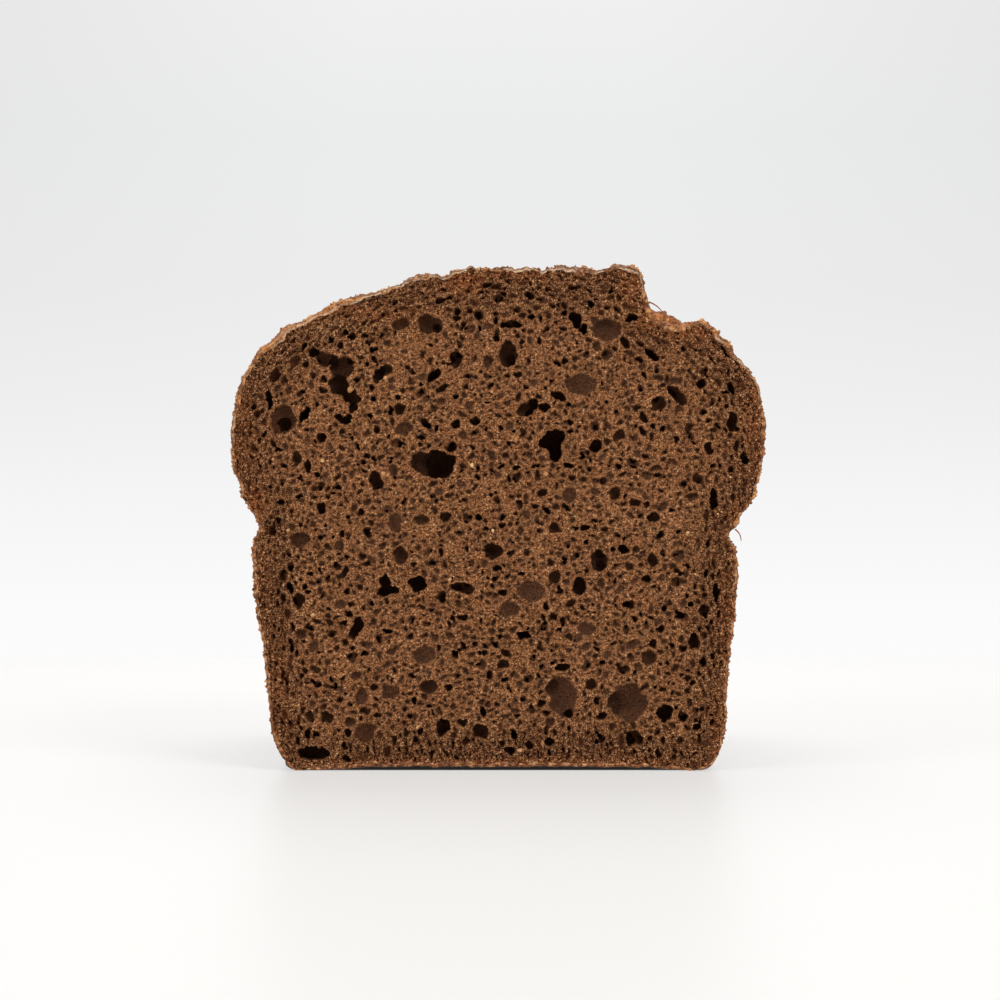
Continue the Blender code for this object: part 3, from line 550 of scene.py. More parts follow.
def crumb_relief(seed):
    """Depth of the crumb's surface behind the cut over a fine grid, and where the cut left it whole."""
    draw = np.random.default_rng(seed)
    xs = np.arange(-68.0, 68.0 + GRID_STEP / 2, GRID_STEP)
    zs = np.arange(-1.0, 128.0 + GRID_STEP / 2, GRID_STEP)
    gx, gz = np.meshgrid(xs, zs, indexing="ij")
    flat = np.stack([gx.ravel(), np.zeros(gx.size), gz.ravel()], axis=1)
    inner = inside_reach(flat[:, 0], flat[:, 2]).reshape(gx.shape)
    warp = warped(gx, flat, 11), warped(gz, flat, 13)
    wild = tuple(w + (0.22 * noise(flat, 3.1, 17 + n)).reshape(gx.shape) for n, w in enumerate(warp))
    depth = np.zeros(gx.shape)
    land = np.ones(gx.shape)

    cells, taken, dished = notable_cells(draw, gx, gz)
    sizes = np.concatenate([np.linspace(*run) for run in CELL_SIZES])
    crowding = (noise(flat, 5.5, 15) + 0.5 * noise(flat, 2.4, 16)).reshape(gx.shape)
    mouths = place_cells(draw, taken, xs, zs, inner, sizes, 0.1, 8, crowding)
    mouths += place_cells(draw, taken, xs, zs, inner, np.linspace(0.3, 0.2, 5600), 0.04, 3)
    for x, z, r in mouths:
        edge = float(np.interp(x, xs, inner[:, np.searchsorted(zs, z)]))
        cells.append(drawn_cell(draw, x, z, r, edge))
    # two layers of cells in the floors of the shallow ones
    for level, (count, small, large) in enumerate(((1400, 0.5, 1.2), (1000, 0.6, 1.5))):
        behind = dished.copy()
        for x, z, r in place_cells(draw, behind, xs, zs, inner, np.linspace(large, small, count), 0.1, 5):
            sunk = draw.uniform(1.0, 1.9) + 1.25 * level
            cells.append((x, z, r * draw.uniform(0.85, 1.2), r, draw.uniform(-1.5, 1.5), sunk, r, 0.0))
    for cell in sorted(cells, key=lambda c: c[5] - c[6]):
        carve(depth, land, *(wild if min(cell[2], cell[3]) > 1.7 else warp), xs, zs, cell)

    land = blurred(land, 1)
    relief, bead_highlight = crumb_grain(flat, land)
    depth += relief + 0.06 + 0.34 * smooth((inner - 0.5) / 1.6)
    depth = np.clip(depth, 0.0, RECESS - 1.2)
    return xs, zs, inner, depth, land, bead_highlight


def crumb_grain(flat, land):
    """The fine relief of the crumb between its cells, and a painted highlight where small beads of it catch
    the light.
    """
    bead, _, size = scatter_cells(flat, 0.62, 21, flat=True)
    beads = smooth(1.0 - bead / (0.32 + 0.16 * size)) * (0.26 + 0.16 * (size > 0.7))
    grain = (0.28 * noise(flat, 0.55, 22) + 0.44 * noise(flat, 0.29, 24) - beads).reshape(land.shape)
    patch = smooth(0.5 + 0.8 * noise(flat, 4.0, 25)).reshape(land.shape)
    bead_highlight = (smooth(1.2 - bead / 0.34) * (size > 0.6)).reshape(land.shape) * patch * land
    lumps = (0.14 * noise(flat, 2.6, 23)).reshape(land.shape)
    return grain * (0.42 + 0.58 * land) + lumps, bead_highlight


def blurred(values, reach):
    """Mean over a square window of 2 x reach + 1 steps."""
    for axis in (0, 1):
        pad = [(0, 0), (0, 0)]
        pad[axis] = (reach + 1, reach)
        total = np.cumsum(np.pad(values, pad, mode="edge"), axis=axis)
        size = 2 * reach + 1
        values = (np.take(total, range(size, total.shape[axis]), axis=axis)
                  - np.take(total, range(0, total.shape[axis] - size), axis=axis)) / size
    return values


def sampled(xs, zs, values, x, z):
    """Values of a grid between its points."""
    i = np.clip((x - xs[0]) / GRID_STEP, 0, len(xs) - 1.001)
    k = np.clip((z - zs[0]) / GRID_STEP, 0, len(zs) - 1.001)
    i0, k0 = i.astype(int), k.astype(int)
    fi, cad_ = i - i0, k - k0
    low = values[i0, k0] * (1 - fi) + values[i0 + 1, k0] * fi
    high = values[i0, k0 + 1] * (1 - fi) + values[i0 + 1, k0 + 1] * fi
    return low * (1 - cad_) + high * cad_


def coordinates(mesh):
    """Every vertex of a mesh, in metres."""
    flat = np.empty(len(mesh.vertices) * 3)
    mesh.vertices.foreach_get("co", flat)
    return flat.reshape(-1, 3)


def set_coordinates(mesh, points):
    mesh.vertices.foreach_set("co", points.ravel())
    mesh.update()


def add_value(mesh, name, values):
    """Keeps one number for each vertex, which a material can read."""
    layer = mesh.attributes.new(name, "FLOAT", "POINT")
    layer.data.foreach_set("value", values.astype(np.float32))


def mesh_from(bm, name):
    """A new mesh with what a bmesh holds. The bmesh is freed."""
    mesh = bpy.data.meshes.new(name)
    bm.to_mesh(mesh)
    bm.free()
    return mesh


def mesh_object(name, mesh):
    obj = bpy.data.objects.new(name, mesh)
    bpy.context.scene.collection.objects.link(obj)
    return obj


def thinned(mesh, share):
    """The mesh with fewer triangles, kept where the surface bends."""
    obj = mesh_object("thinning", mesh)
    fewer = obj.modifiers.new("fewer", "DECIMATE")
    fewer.ratio = share
    evaluated = obj.evaluated_get(bpy.context.evaluated_depsgraph_get())
    result = bpy.data.meshes.new_from_object(evaluated)
    bpy.data.objects.remove(obj, do_unlink=True)
    bpy.data.meshes.remove(mesh)
    return result


def part_of(mesh, cuts):
    """The part of a mesh on one side of each cut. A cut is an axis, a place in mm and the side that stays."""
    bm = bmesh.new()
    bm.from_mesh(mesh)
    for axis, place, side in cuts:
        normal = Vector((0.0, 0.0, 0.0))
        normal[axis] = 1.0
        everything = bm.verts[:] + bm.edges[:] + bm.faces[:]
        plane = {"plane_co": normal * place * MM, "plane_no": normal, "dist": 1e-7}
        bmesh.ops.bisect_plane(bm, geom=everything, clear_outer=side < 0, clear_inner=side > 0, **plane)
    return bm


def crumb_sheet(xs, zs, inner, depth, crust_edge):
    """The hollowed front of the crumb, as one fine sheet cut to the outline."""
    bm = bmesh.new()
    across, up = len(xs), len(zs)
    bmesh.ops.create_grid(bm, x_segments=across - 1, y_segments=up - 1, size=0.5)
    bm.verts.ensure_lookup_table()
    place = np.array([v.co[:2] for v in bm.verts])
    i = np.rint((place[:, 0] + 0.5) * (across - 1)).astype(int)
    k = np.rint((place[:, 1] + 0.5) * (up - 1)).astype(int)
    keep = inner[i, k] > crust_edge * 0.8
    bmesh.ops.delete(bm, geom=[v for v, kept in zip(bm.verts, keep) if not kept], context="VERTS")
    mesh = mesh_from(bm, "crumb_sheet")
    i, k = i[keep], k[keep]
    points = np.stack([xs[i], FRONT + SETBACK + depth[i, k], zs[k]], axis=1)
    set_coordinates(mesh, points * MM)
    return mesh


def closed_block(bm, back):
    """Draws the rim of a sheet straight back and closes it there."""
    rim = [e for e in bm.edges if e.is_boundary]
    made = bmesh.ops.extrude_edge_only(bm, edges=rim)["geom"]
    for vert in made:
        if isinstance(vert, bmesh.types.BMVert):
            vert.co.y = back
    edges = [e for e in made if isinstance(e, bmesh.types.BMEdge) and e.is_boundary]
    bmesh.ops.contextual_create(bm, geom=edges)
    bmesh.ops.recalc_face_normals(bm, faces=bm.faces[:])


def finish_piece(obj, material, sharp):
    """Gives a piece its material and shading, and its part in the frame."""
    obj.data.materials.append(material)
    obj.data.shade_smooth()
    obj.data.set_sharp_from_angle(angle=math.radians(sharp))
    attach(obj, "root")
    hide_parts("loaf")


# Where the crumb is baked orange, in mm: across, up, half-width, half-height, strength
TOASTED = (
    (-9.0, 122.6, 5.0, 2.6, 0.75), (3.0, 124.2, 12.0, 1.6, 0.5), (34.0, 121.5, 3.4, 4.6, 0.55),
    (38.6, 112.6, 4.4, 2.2, 0.75), (45.5, 110.6, 5.4, 2.3, 0.85), (50.5, 110.0, 3.0, 2.4, 0.6),
    (63.5, 87.0, 2.6, 13.0, 0.35), (-63.8, 86.0, 2.2, 12.0, 0.3), (-61.0, 66.5, 2.6, 4.5, 0.7),
    (60.0, 63.5, 2.0, 3.5, 0.55), (-58.6, 50.0, 1.8, 10.0, 0.25), (57.0, 40.0, 1.8, 16.0, 0.3),
    (-55.0, 20.0, 2.0, 16.0, 0.25), (54.5, 12.0, 2.0, 10.0, 0.25), (0.0, 1.8, 50.0, 1.2, 0.5),
    (-34.0, 115.0, 12.0, 2.5, 0.3),
)


def toasted(x, z):
    """How orange the crumb is baked at each place of the cut."""
    total = np.zeros(len(x))
    for middle, height, wide, tall, strength in TOASTED:
        away = ((x - middle) / wide) ** 2 + ((z - height) / tall) ** 2
        total = np.maximum(total, strength * np.exp(-away))
    return np.clip(total, 0.0, 1.0)


class LOAF_OT_crumb(bpy.types.Operator):
    """Builds the crumb, hollowed by its air cells"""

    bl_idname = "loaf.crumb"
    bl_label = "Crumb"

    def execute(self, context):
        shape = context.scene.loaf_shape
        xs, zs, inner, depth, land, bead_highlight = crumb_relief(shape.cell_seed)
        sheet = crumb_sheet(xs, zs, inner, depth, shape.crust_edge / MM)
        material = crumb_material()
        for name, across, up in (
            ("crumb_upper_left", -1, 1),
            ("crumb_upper_right", 1, 1),
            ("crumb_lower_left", -1, -1),
            ("crumb_lower_right", 1, -1),
        ):
            bm = part_of(sheet, ((2, CRUMB_SPLIT, up), (0, 0.0, across)))
            closed_block(bm, (FRONT + RECESS) * MM)
            mesh = mesh_from(bm, name)
            x, y, z = (coordinates(mesh) / MM).T
            # painted shade: the crumb is coloured darker the deeper it lies behind the cut
            add_value(mesh, "hollow", np.clip((y - FRONT - SETBACK) / 5.0, 0.0, 1.0))
            add_value(mesh, "land", sampled(xs, zs, land, x, z))
            add_value(mesh, "bead", sampled(xs, zs, bead_highlight, x, z))
            add_value(mesh, "toast", toasted(x, z))
            add_value(mesh, "near_crust", np.clip(1.0 - sampled(xs, zs, inner, x, z) / DENSE_BAND, 0.0, 1.0))
            finish_piece(mesh_object(name, mesh), material, CRUMB_SHARP)
        bpy.data.meshes.remove(sheet)
        return {"FINISHED"}


def notch_share(points):
    """How much of the torn step in the crown each point belongs to."""
    fade = 1.0 - smooth((points[:, 1] - FRONT - TEAR_FADE) / TEAR_FADE_LENGTH)
    return hump(points[:, 0] - 43.5, 9.5) * smooth((points[:, 2] - 100.0) / 6.0) * fade


def crown_relief(points):
    """The crags, cracked plates and stuck grains of the risen crown."""
    shape = bpy.context.scene.loaf_shape
    crags = shape.crag_height / MM * (fractal(points, 10.0, 4, 51) + 0.37 * fractal(points, 2.2, 2, 61))
    near, second, number = scatter_cells(points + 0.8 * noise(points, 3.0, 71)[:, None], 8.5, 81)
    crack = smooth(1.0 - (second - near) / 0.9) * smooth(0.75 + 1.1 * noise(points, 26.0, 73))
    plates = 0.35 * number - shape.crack_depth / MM * crack
    near, _, number = scatter_cells(points, 1.9, 91)
    grains = 0.28 * smooth(1.0 - near / 0.95) * (number > -0.1)
    return crags, plates, grains


def tin_relief(points):
    """The dimples and pits of the crust that was baked against the tin."""
    near, _, number = scatter_cells(points, 2.9, 111)
    pits = -0.42 * smooth(1.0 - near / (0.9 + 0.5 * number)) * (number > -0.3)
    return 0.26 * fractal(points, 7.0, 3, 121) + pits + 0.1 * fractal(points, 1.3, 2, 131)


def torn_relief(points):
    """The rough crumb of the torn step."""
    near, _, number = scatter_cells(points, 1.5, 151)
    return 0.8 * fractal(points, 3.2, 4, 161, gain=0.62) + 0.6 * smooth(1.0 - near / 0.75) * (number > -0.2)


def crust_relief(points):
    """How far the crust stands out of the plain skin."""
    z = points[:, 2]
    behind = points[:, 1] - FRONT
    crown = smooth((z - 88.0) / 14.0)
    tin = smooth((60.5 - z) / 4.0)
    flank = (1.0 - crown) * (1.0 - tin)
    crags, plates, grains = crown_relief(points)
    ragged = 0.5 * fractal(points * np.array([1.0, 1.0, 0.45]), 3.0, 3, 101)
    lip = hump(z - 65.0, 7.0)
    rise = crown * (crags + plates + grains) + flank * (0.4 * crags + 0.6 * ragged + 0.5 * grains)
    rise = rise + tin * tin_relief(points)
    rise = rise + 1.2 * lip * ragged
    strength = 0.25 + 0.75 * smooth(behind / (7.0 - 4.2 * crown))
    foot = smooth(z / 9.0)
    rise = rise * strength * np.maximum(foot, 0.12 * (z > 0.4))
    return rise + notch_share(points) * (0.3 + 0.7 * smooth(behind / 1.2)) * torn_relief(points)


def crust_surface(angle, turn, along):
    """Points on the crust with its crags, the way that it faces there and how far it stands out."""
    points = loaf_surface(angle, turn, along)
    core_y = np.minimum(points[:, 1], HEEL_CENTRE)
    core = np.stack([np.zeros(len(points)), core_y, np.full(len(points), MIDDLE)], axis=1)
    away = points - core
    away /= np.maximum(np.linalg.norm(away, axis=1), 1e-6)[:, None]
    rise = crust_relief(points)
    return points + away * rise[:, None], away, rise


def in_box(points):
    """The points, moved inside the loaf's own room. The base may touch its floor."""
    return np.clip(points, LOW + (SKIN_MARGIN, SKIN_MARGIN, 0.0), HIGH - SKIN_MARGIN)


def add_crust_values(mesh):
    """Keeps for each vertex of the crust where it is pale, torn or baked against the tin."""
    p = coordinates(mesh) / MM
    angle = np.degrees(np.arctan2(p[:, 2] - MIDDLE, p[:, 0]))
    behind = p[:, 1] - FRONT - SETBACK
    rim = np.hypot(p[:, 0], p[:, 2] - MIDDLE) - cut_reach(np.radians(angle))
    # a pale line where the crust of the crown is cut: a painted highlight for the light on its thin cut film
    line = hump(rim + 0.42, 0.5) * smooth((0.9 - behind) / 0.6)
    crown = smooth((angle - 56.0) / 8.0) * smooth((168.0 - angle) / 18.0) + 0.8 * hump(angle - 38.0, 16.0)
    broken = smooth(0.62 + 0.9 * noise(p, 3.5, 141) + 0.5 * noise(p, 0.8, 142))
    add_value(mesh, "pale", np.clip(line * crown * broken, 0.0, 0.78))
    waist = hump(p[:, 2] - 61.0, 4.5) * smooth(0.5 + 0.9 * noise(p, 9.0, 143))
    add_value(mesh, "torn", np.clip(notch_share(p) + waist * 0.5, 0.0, 1.0))
    add_value(mesh, "edge", smooth((1.9 - behind) / 1.2))
    add_value(mesh, "tin", smooth((60.0 - p[:, 2]) / 3.0))
    # golden orange behind the cut at the shoulders: partly baked colour, partly a painted highlight from the
    # top light
    shoulder = hump(angle - 136.0, 32.0) + 0.5 * hump(angle - 40.0, 20.0)
    add_value(mesh, "golden", np.clip(shoulder, 0.0, 1.0) * smooth((9.0 - behind) / 8.0))


def crust_rows():
    """How far along and round the heel each row of the crust lies, and which is the first row outside."""
    straight = HEEL_CENTRE - FRONT
    alongs = np.cumsum(np.concatenate([[0.0], np.linspace(0.22, 0.62, CRUST_ROWS)]))
    alongs = alongs / alongs[-1] * straight
    turns = np.linspace(0.0, math.pi / 2, HEEL_ROWS + 1)[1:]
    first = len(RECESS_ROWS) + len(EDGE_ROWS)
    along_of = np.concatenate([np.zeros(first), alongs, np.full(len(turns), straight)])
    turn_of = np.concatenate([np.zeros(first + len(alongs)), turns])
    return along_of, turn_of, first


def lay_cut_edge(points, row, angle, crust_edge):
    """Moves the crust's first rows to its cut edge and to the recess behind the crumb's rim."""
    flat = np.stack([np.cos(angle), np.sin(angle)], axis=1)
    rim = cut_reach(angle)
    circle = np.stack([flat[:, 0], flat[:, 1], 0.0 * rim], axis=1) * MIDDLE
    thick = crust_edge * np.clip(1.0 + 0.5 * fractal(circle, 2.4, 3, 33), 0.82, 1.9)
    reaches = [(rim - thick) * share for share, _ in RECESS_ROWS]
    reaches += [rim - thick * share for share in EDGE_ROWS]
    for index, reach in enumerate(reaches):
        here = row == index
        points[here, 0] = flat[here, 0] * reach[here]
        points[here, 2] = MIDDLE + flat[here, 1] * reach[here]
        if index < len(RECESS_ROWS):
            points[here, 1] = FRONT + SETBACK + RECESS_ROWS[index][1]
        else:
            uneven = 0.3 * noise(points[here], 0.7, 35) + 0.2 * noise(points[here], 0.35, 36)
            points[here, 1] = FRONT + SETBACK + 0.02 + uneven
    points[row == len(reaches), 1] = FRONT + SETBACK + 0.1


def crust_skin(crust_edge):
    """The crust as one closed skin, from the recess over the cut edge, along the loaf and round the heel."""
    along_of, turn_of, first = crust_rows()
    last = len(along_of) - 1
    bm = bmesh.new()
    bmesh.ops.create_grid(bm, x_segments=CRUST_COLUMNS, y_segments=last, size=0.5)
    place = np.array([v.co[:2] for v in bm.verts])
    column = np.rint((place[:, 0] + 0.5) * CRUST_COLUMNS).astype(int)
    row = np.rint((place[:, 1] + 0.5) * last).astype(int)
    angle = 2.0 * np.pi * (column % CRUST_COLUMNS) / CRUST_COLUMNS - np.pi / 2
    points, _, high = crust_surface(angle, turn_of[row], along_of[row])
    points[row == last] = (0.0, BACK - 0.2, MIDDLE)
    high[row < first] = 0.0
    lay_cut_edge(points, row, angle, crust_edge)
    mesh = mesh_from(bm, "crust_skin")
    set_coordinates(mesh, in_box(points) * MM)
    add_value(mesh, "high", np.clip(0.5 + high / 3.0, 0.0, 1.0))
    bm = bmesh.new()
    bm.from_mesh(mesh)
    bmesh.ops.remove_doubles(bm, verts=bm.verts[:], dist=1e-6)
    bmesh.ops.recalc_face_normals(bm, faces=bm.faces[:])
    bm.to_mesh(mesh)
    bm.free()
    mesh = thinned(mesh, CRUST_TRIANGLES / (2 * len(mesh.polygons)))
    set_coordinates(mesh, in_box(coordinates(mesh) / MM) * MM)
    add_crust_values(mesh)
    return mesh


class LOAF_OT_crust(bpy.types.Operator):
    """Builds the crust from the cut round to the heel"""

    bl_idname = "loaf.crust"
    bl_label = "Crust"

    def execute(self, context):
        skin = crust_skin(context.scene.loaf_shape.crust_edge / MM)
        material = crust_material()
        for name, cuts in (
            ("crown_crust_left", ((2, WAIST_HEIGHT, 1), (0, 0.0, -1))),
            ("crown_crust_right", ((2, WAIST_HEIGHT, 1), (0, 0.0, 1))),
            ("tin_crust", ((2, WAIST_HEIGHT, -1),)),
        ):
            bm = part_of(skin, cuts)
            bmesh.ops.contextual_create(bm, geom=[e for e in bm.edges if e.is_boundary])
            bmesh.ops.recalc_face_normals(bm, faces=bm.faces[:])
            finish_piece(mesh_object(name, mesh_from(bm, name)), material, CRUST_SHARP)
        bpy.data.meshes.remove(skin)
        return {"FINISHED"}


def lumpy_bit(bm, draw, place, radius, stretch):
    """A small crumb: a ball with an uneven skin."""
    made = bmesh.ops.create_icosphere(bm, subdivisions=2 if radius > 0.4 else 1, radius=1.0)["verts"]
    turn = Matrix.Rotation(draw.uniform(0.0, 6.28), 3, "Y") @ Matrix.Rotation(draw.uniform(0.0, 6.28), 3, "X")
    for vert in made:
        size = radius * draw.uniform(0.62, 1.2)
        x, y, z = vert.co
        vert.co = place + turn @ Vector((x * size * stretch, y * size, z * size / stretch))


def finish_bits(bm, name, material):
    """Finishes a piece of small bits that were placed in mm, and holds it inside the loaf's own room."""
    for vert in bm.verts:
        for axis in range(3):
            vert.co[axis] = min(max(vert.co[axis], LOW[axis] + BIT_MARGIN), HIGH[axis] - BIT_MARGIN)
        vert.co *= MM
    finish_piece(mesh_object(name, mesh_from(bm, name)), material, BIT_SHARP)


# Clinging crumbs: from and to in degrees, from and to in mm behind the cut, how many, largest radius
CLINGING = (
    (112.0, 158.0, 0.3, 14.0, 420, 0.5), (88.0, 112.0, 0.6, 14.0, 150, 0.6),
    (60.0, 88.0, 0.6, 14.0, 120, 0.55), (20.0, 46.0, 0.4, 14.0, 200, 0.5),
    (43.0, 61.0, 0.4, 60.0, 560, 0.7), (-12.0, 20.0, 0.2, 4.0, 120, 0.5),
    (158.0, 192.0, 0.2, 4.0, 120, 0.5), (192.0, 225.0, 0.2, 2.5, 90, 0.46),
    (-45.0, -12.0, 0.2, 2.5, 90, 0.46),
)

# Pale grains and bran flakes on the crumb, in mm: across, up, radius, how stretched
PALE_GRAINS = (
    (-28.2, 98.3, 0.6, 1.1), (-24.7, 94.4, 0.5, 1.2), (-28.8, 74.4, 0.65, 1.0), (-44.1, 77.6, 0.6, 1.3),
    (-56.4, 77.9, 0.5, 1.0), (-33.3, 82.3, 0.45, 1.8), (-37.0, 95.4, 0.8, 1.1), (-6.6, 76.4, 0.65, 1.1),
    (11.8, 74.2, 0.7, 1.0), (4.4, 82.8, 0.6, 1.1), (22.8, 65.8, 0.55, 1.2), (-19.7, 11.2, 0.7, 1.9),
    (5.6, 5.2, 0.6, 1.7), (-12.1, 47.8, 0.5, 1.3), (-52.6, 60.1, 0.55, 1.0), (38.2, 24.4, 0.5, 1.2),
    (-46.4, 39.0, 0.6, 1.1), (28.0, 39.0, 0.5, 1.0), (47.5, 59.5, 0.55, 1.2), (-1.4, 60.0, 0.45, 1.4),
)


class LOAF_OT_pale_grains(bpy.types.Operator):
    """Builds the pale grains and bran flakes that stick to the cut"""

    bl_idname = "loaf.pale_grains"
    bl_label = "Pale grains"

    def execute(self, context):
        draw = np.random.default_rng(context.scene.loaf_shape.cell_seed + 9)
        bm = bmesh.new()
        for x, z, radius, stretch in PALE_GRAINS:
            lumpy_bit(bm, draw, Vector((x, FRONT + SETBACK + 0.45, z)), radius, stretch)
        finish_bits(bm, "pale_grains", grain_material())
        return {"FINISHED"}


# Bran fibres off the crust, in mm: across, up, behind the cut, length, tilt in degrees, bow
FIBRES = (
    (37.8, 117.5, 2.6, 4.4, -37.0, 0.35), (-40.9, 115.8, 1.6, 2.7, 50.0, -0.2),
    (-36.1, 118.2, 2.4, 1.3, 72.0, 0.1), (59.3, 60.4, 0.8, 3.2, -62.0, 0.4),
    (-57.0, 105.6, 2.0, 1.2, 128.0, 0.1), (12.0, 125.6, 3.0, 1.0, 66.0, 0.1),
)
FIBRE_RADIUS = 0.2
FIBRE_LINKS = 6
FLAKE_PLACE = (39.2, FRONT + 1.3, 113.4)
FLAKE_HALVES = (2.1, 0.5, 1.2)
FLAKE_TILT = 16.0


def fibre(bm, start, span_mm, tilt, bow):
    """A thin strand in a shallow bow, made of short tapered links."""
    ahead = Vector((math.cos(tilt), 0.0, math.sin(tilt)))
    aside = Vector((-ahead.z, 0.0, ahead.x))
    places = []
    for share in np.linspace(0.0, 1.0, FIBRE_LINKS + 1):
        line = start + ahead * span_mm * share
        places.append(line + aside * bow * math.sin(math.pi * share) + Vector((0.0, 0.5 * share, 0.0)))
    for link, (a, b) in enumerate(zip(places, places[1:])):
        place = Matrix.Translation((a + b) / 2) @ (b - a).to_track_quat("Z", "Y").to_matrix().to_4x4()
        wide, thin = (FIBRE_RADIUS * (1.0 - 0.5 * (link + end) / FIBRE_LINKS) for end in (0, 1))
        size = {"radius1": wide, "radius2": thin, "depth": (b - a).length * 1.1}
        bmesh.ops.create_cone(bm, cap_ends=True, segments=8, matrix=place, **size)


class LOAF_OT_fibres(bpy.types.Operator):
    """Builds the bran fibres, and the thin amber flake in the torn step"""

    bl_idname = "loaf.fibres"
    bl_label = "Fibres"

    def execute(self, context):
        draw = np.random.default_rng(context.scene.loaf_shape.cell_seed + 13)
        bm = bmesh.new()
        for x, z, behind, span_mm, tilt, bow in FIBRES:
            fibre(bm, Vector((x, FRONT + behind, z)), span_mm, math.radians(tilt), bow)
        flake = Matrix.Translation(FLAKE_PLACE) @ Matrix.Rotation(math.radians(FLAKE_TILT), 4, "Y")
        shape = flake @ Matrix.Diagonal((*FLAKE_HALVES, 1.0))
        for vert in bmesh.ops.create_icosphere(bm, subdivisions=3, radius=1.0, matrix=shape)["verts"]:
            vert.co += Vector(draw.uniform(-0.09, 0.09, 3))
        finish_bits(bm, "fibres", fibre_material())
        return {"FINISHED"}


class LOAF_OT_loose_crumbs(bpy.types.Operator):
    """Builds the crumbs that cling to the crust, most of them near the cut"""

    bl_idname = "loaf.loose_crumbs"
    bl_label = "Clinging crumbs"

    def execute(self, context):
        draw = np.random.default_rng(context.scene.loaf_shape.cell_seed + 5)
        bm = bmesh.new()
        for low, high, near, far, count, largest in CLINGING:
            angles = np.radians(draw.uniform(low, high, count) + draw.normal(0.0, 3.0, count))
            behind = near + (far - near) * draw.random(count) ** 1.8
            places, away, _ = crust_surface(angles, np.zeros(count), behind)
            some = bmesh.new()
            for place, out in zip(places, away):
                radius = largest * draw.uniform(0.4, 1.0) ** 1.4
                lumpy_bit(some, draw, Vector(place - out * 0.25 * radius), radius, draw.uniform(0.9, 1.4))
            mesh = mesh_from(some, "some_crumbs")
            bm.from_mesh(mesh)
            bpy.data.meshes.remove(mesh)
        finish_bits(bm, "clinging_crumbs", crumb_bit_material())
        return {"FINISHED"}


def new_material(name):
    """A new material, its node tree and its shader."""
    material = bpy.data.materials.new(name)
    material.use_nodes = True
    tree = material.node_tree
    return material, tree, tree.nodes["Principled BSDF"]


def node(tree, kind, inputs=(), **settings):
    """A new node. Each input is linked to a socket or set to a value."""
    made = tree.nodes.new(kind)
    for key, value in settings.items():
        setattr(made, key, value)
    for key, value in dict(inputs).items():
        if isinstance(value, bpy.types.NodeSocket):
            tree.links.new(value, made.inputs[key])
        else:
            made.inputs[key].default_value = value
    return made


def ramp(tree, factor, stops):
    """A colour that runs through the stops as the factor rises."""
    made = tree.nodes.new("ShaderNodeValToRGB")
    elements = made.color_ramp.elements
    while len(elements) < len(stops):
        elements.new(0.5)
    for element, (position, tint) in zip(elements, stops):
        element.position = position
        element.color = (*tint, 1.0)
    tree.links.new(factor, made.inputs["Fac"])
    return made.outputs["Color"]


def layered(tree, base, layers):
    """The base with colours laid over it in turn, each where its mask is."""
    for mask, tint in layers:
        made = tree.nodes.new("ShaderNodeMix")
        made.data_type = "RGBA"
        for socket, value in ((made.inputs[0], mask), (made.inputs[6], base), (made.inputs[7], tint)):
            if isinstance(value, bpy.types.NodeSocket):
                tree.links.new(value, socket)
            else:
                socket.default_value = (*value, 1.0)
        base = made.outputs[2]
    return base


def attribute(tree, name):
    return node(tree, "ShaderNodeAttribute", attribute_name=name, attribute_type="GEOMETRY").outputs["Fac"]


def object_noise(tree, scale, detail=4.0, rough=0.6):
    place = node(tree, "ShaderNodeTexCoord").outputs["Object"]
    settings = {"Vector": place, "Scale": scale, "Detail": detail, "Roughness": rough}
    return node(tree, "ShaderNodeTexNoise", settings).outputs["Fac"]


def group(name, inputs, outputs):
    """An empty node group with named inputs and outputs."""
    tree = bpy.data.node_groups.new(name, "ShaderNodeTree")
    for label, kind in inputs:
        tree.interface.new_socket(label, in_out="INPUT", socket_type=kind)
    for label, kind in outputs:
        tree.interface.new_socket(label, in_out="OUTPUT", socket_type=kind)
    return tree, tree.nodes.new("NodeGroupInput").outputs, tree.nodes.new("NodeGroupOutput").inputs


def dots(tree, scale, full, gone, rarity):
    """Small round spots at scattered points. Full and gone are distances in steps of the scatter."""
    place = node(tree, "ShaderNodeTexCoord").outputs["Object"]
    scattered = node(tree, "ShaderNodeTexVoronoi", {"Vector": place, "Scale": scale})
    spot = span(tree, scattered.outputs["Distance"], gone, full)
    picked = node(tree, "ShaderNodeSeparateColor", {"Color": scattered.outputs["Color"]})
    chosen = span(tree, picked.outputs["Red"], rarity, rarity + 0.05)
    return product(tree, spot, chosen)


def grain_group():
    """Sandy grain of torn bread: where it is dark, where it has painted glints, and how high it stands."""
    tree, given, put = group(
        "bread_grain",
        ((label, "NodeSocketFloat") for label in ("Dark share", "Glint share")),
        ((label, "NodeSocketFloat") for label in ("Dark", "Glint", "Height", "Pore", "Speck")),
    )
    low = node(tree, "ShaderNodeMath", {0: given["Dark share"], 1: 0.07}, operation="SUBTRACT").outputs[0]
    high = node(tree, "ShaderNodeMath", {0: given["Glint share"], 1: 0.09}, operation="ADD").outputs[0]
    dark = span(tree, object_noise(tree, 3700.0, 2.0), given["Dark share"], low)
    glint = span(tree, object_noise(tree, 4600.0, 1.0), given["Glint share"], high)
    tree.links.new(dark, put["Dark"])
    tree.links.new(glint, put["Glint"])
    tree.links.new(object_noise(tree, 2600.0, 3.0), put["Height"])
    tree.links.new(dots(tree, 1800.0, 0.26, 0.38, 0.35), put["Pore"])
    tree.links.new(dots(tree, 1250.0, 0.2, 0.32, 0.45), put["Speck"])
    return tree


def grain_node(tree, dark, glint):
    """The outputs of a bread grain group with its own shares of dark and glint."""
    made = tree.nodes.new("ShaderNodeGroup")
    made.node_tree = bpy.data.node_groups.get("bread_grain") or grain_group()
    made.inputs["Dark share"].default_value = dark
    made.inputs["Glint share"].default_value = glint
    return made.outputs


def product(tree, a, b):
    return node(tree, "ShaderNodeMath", {0: a, 1: b}, operation="MULTIPLY").outputs[0]


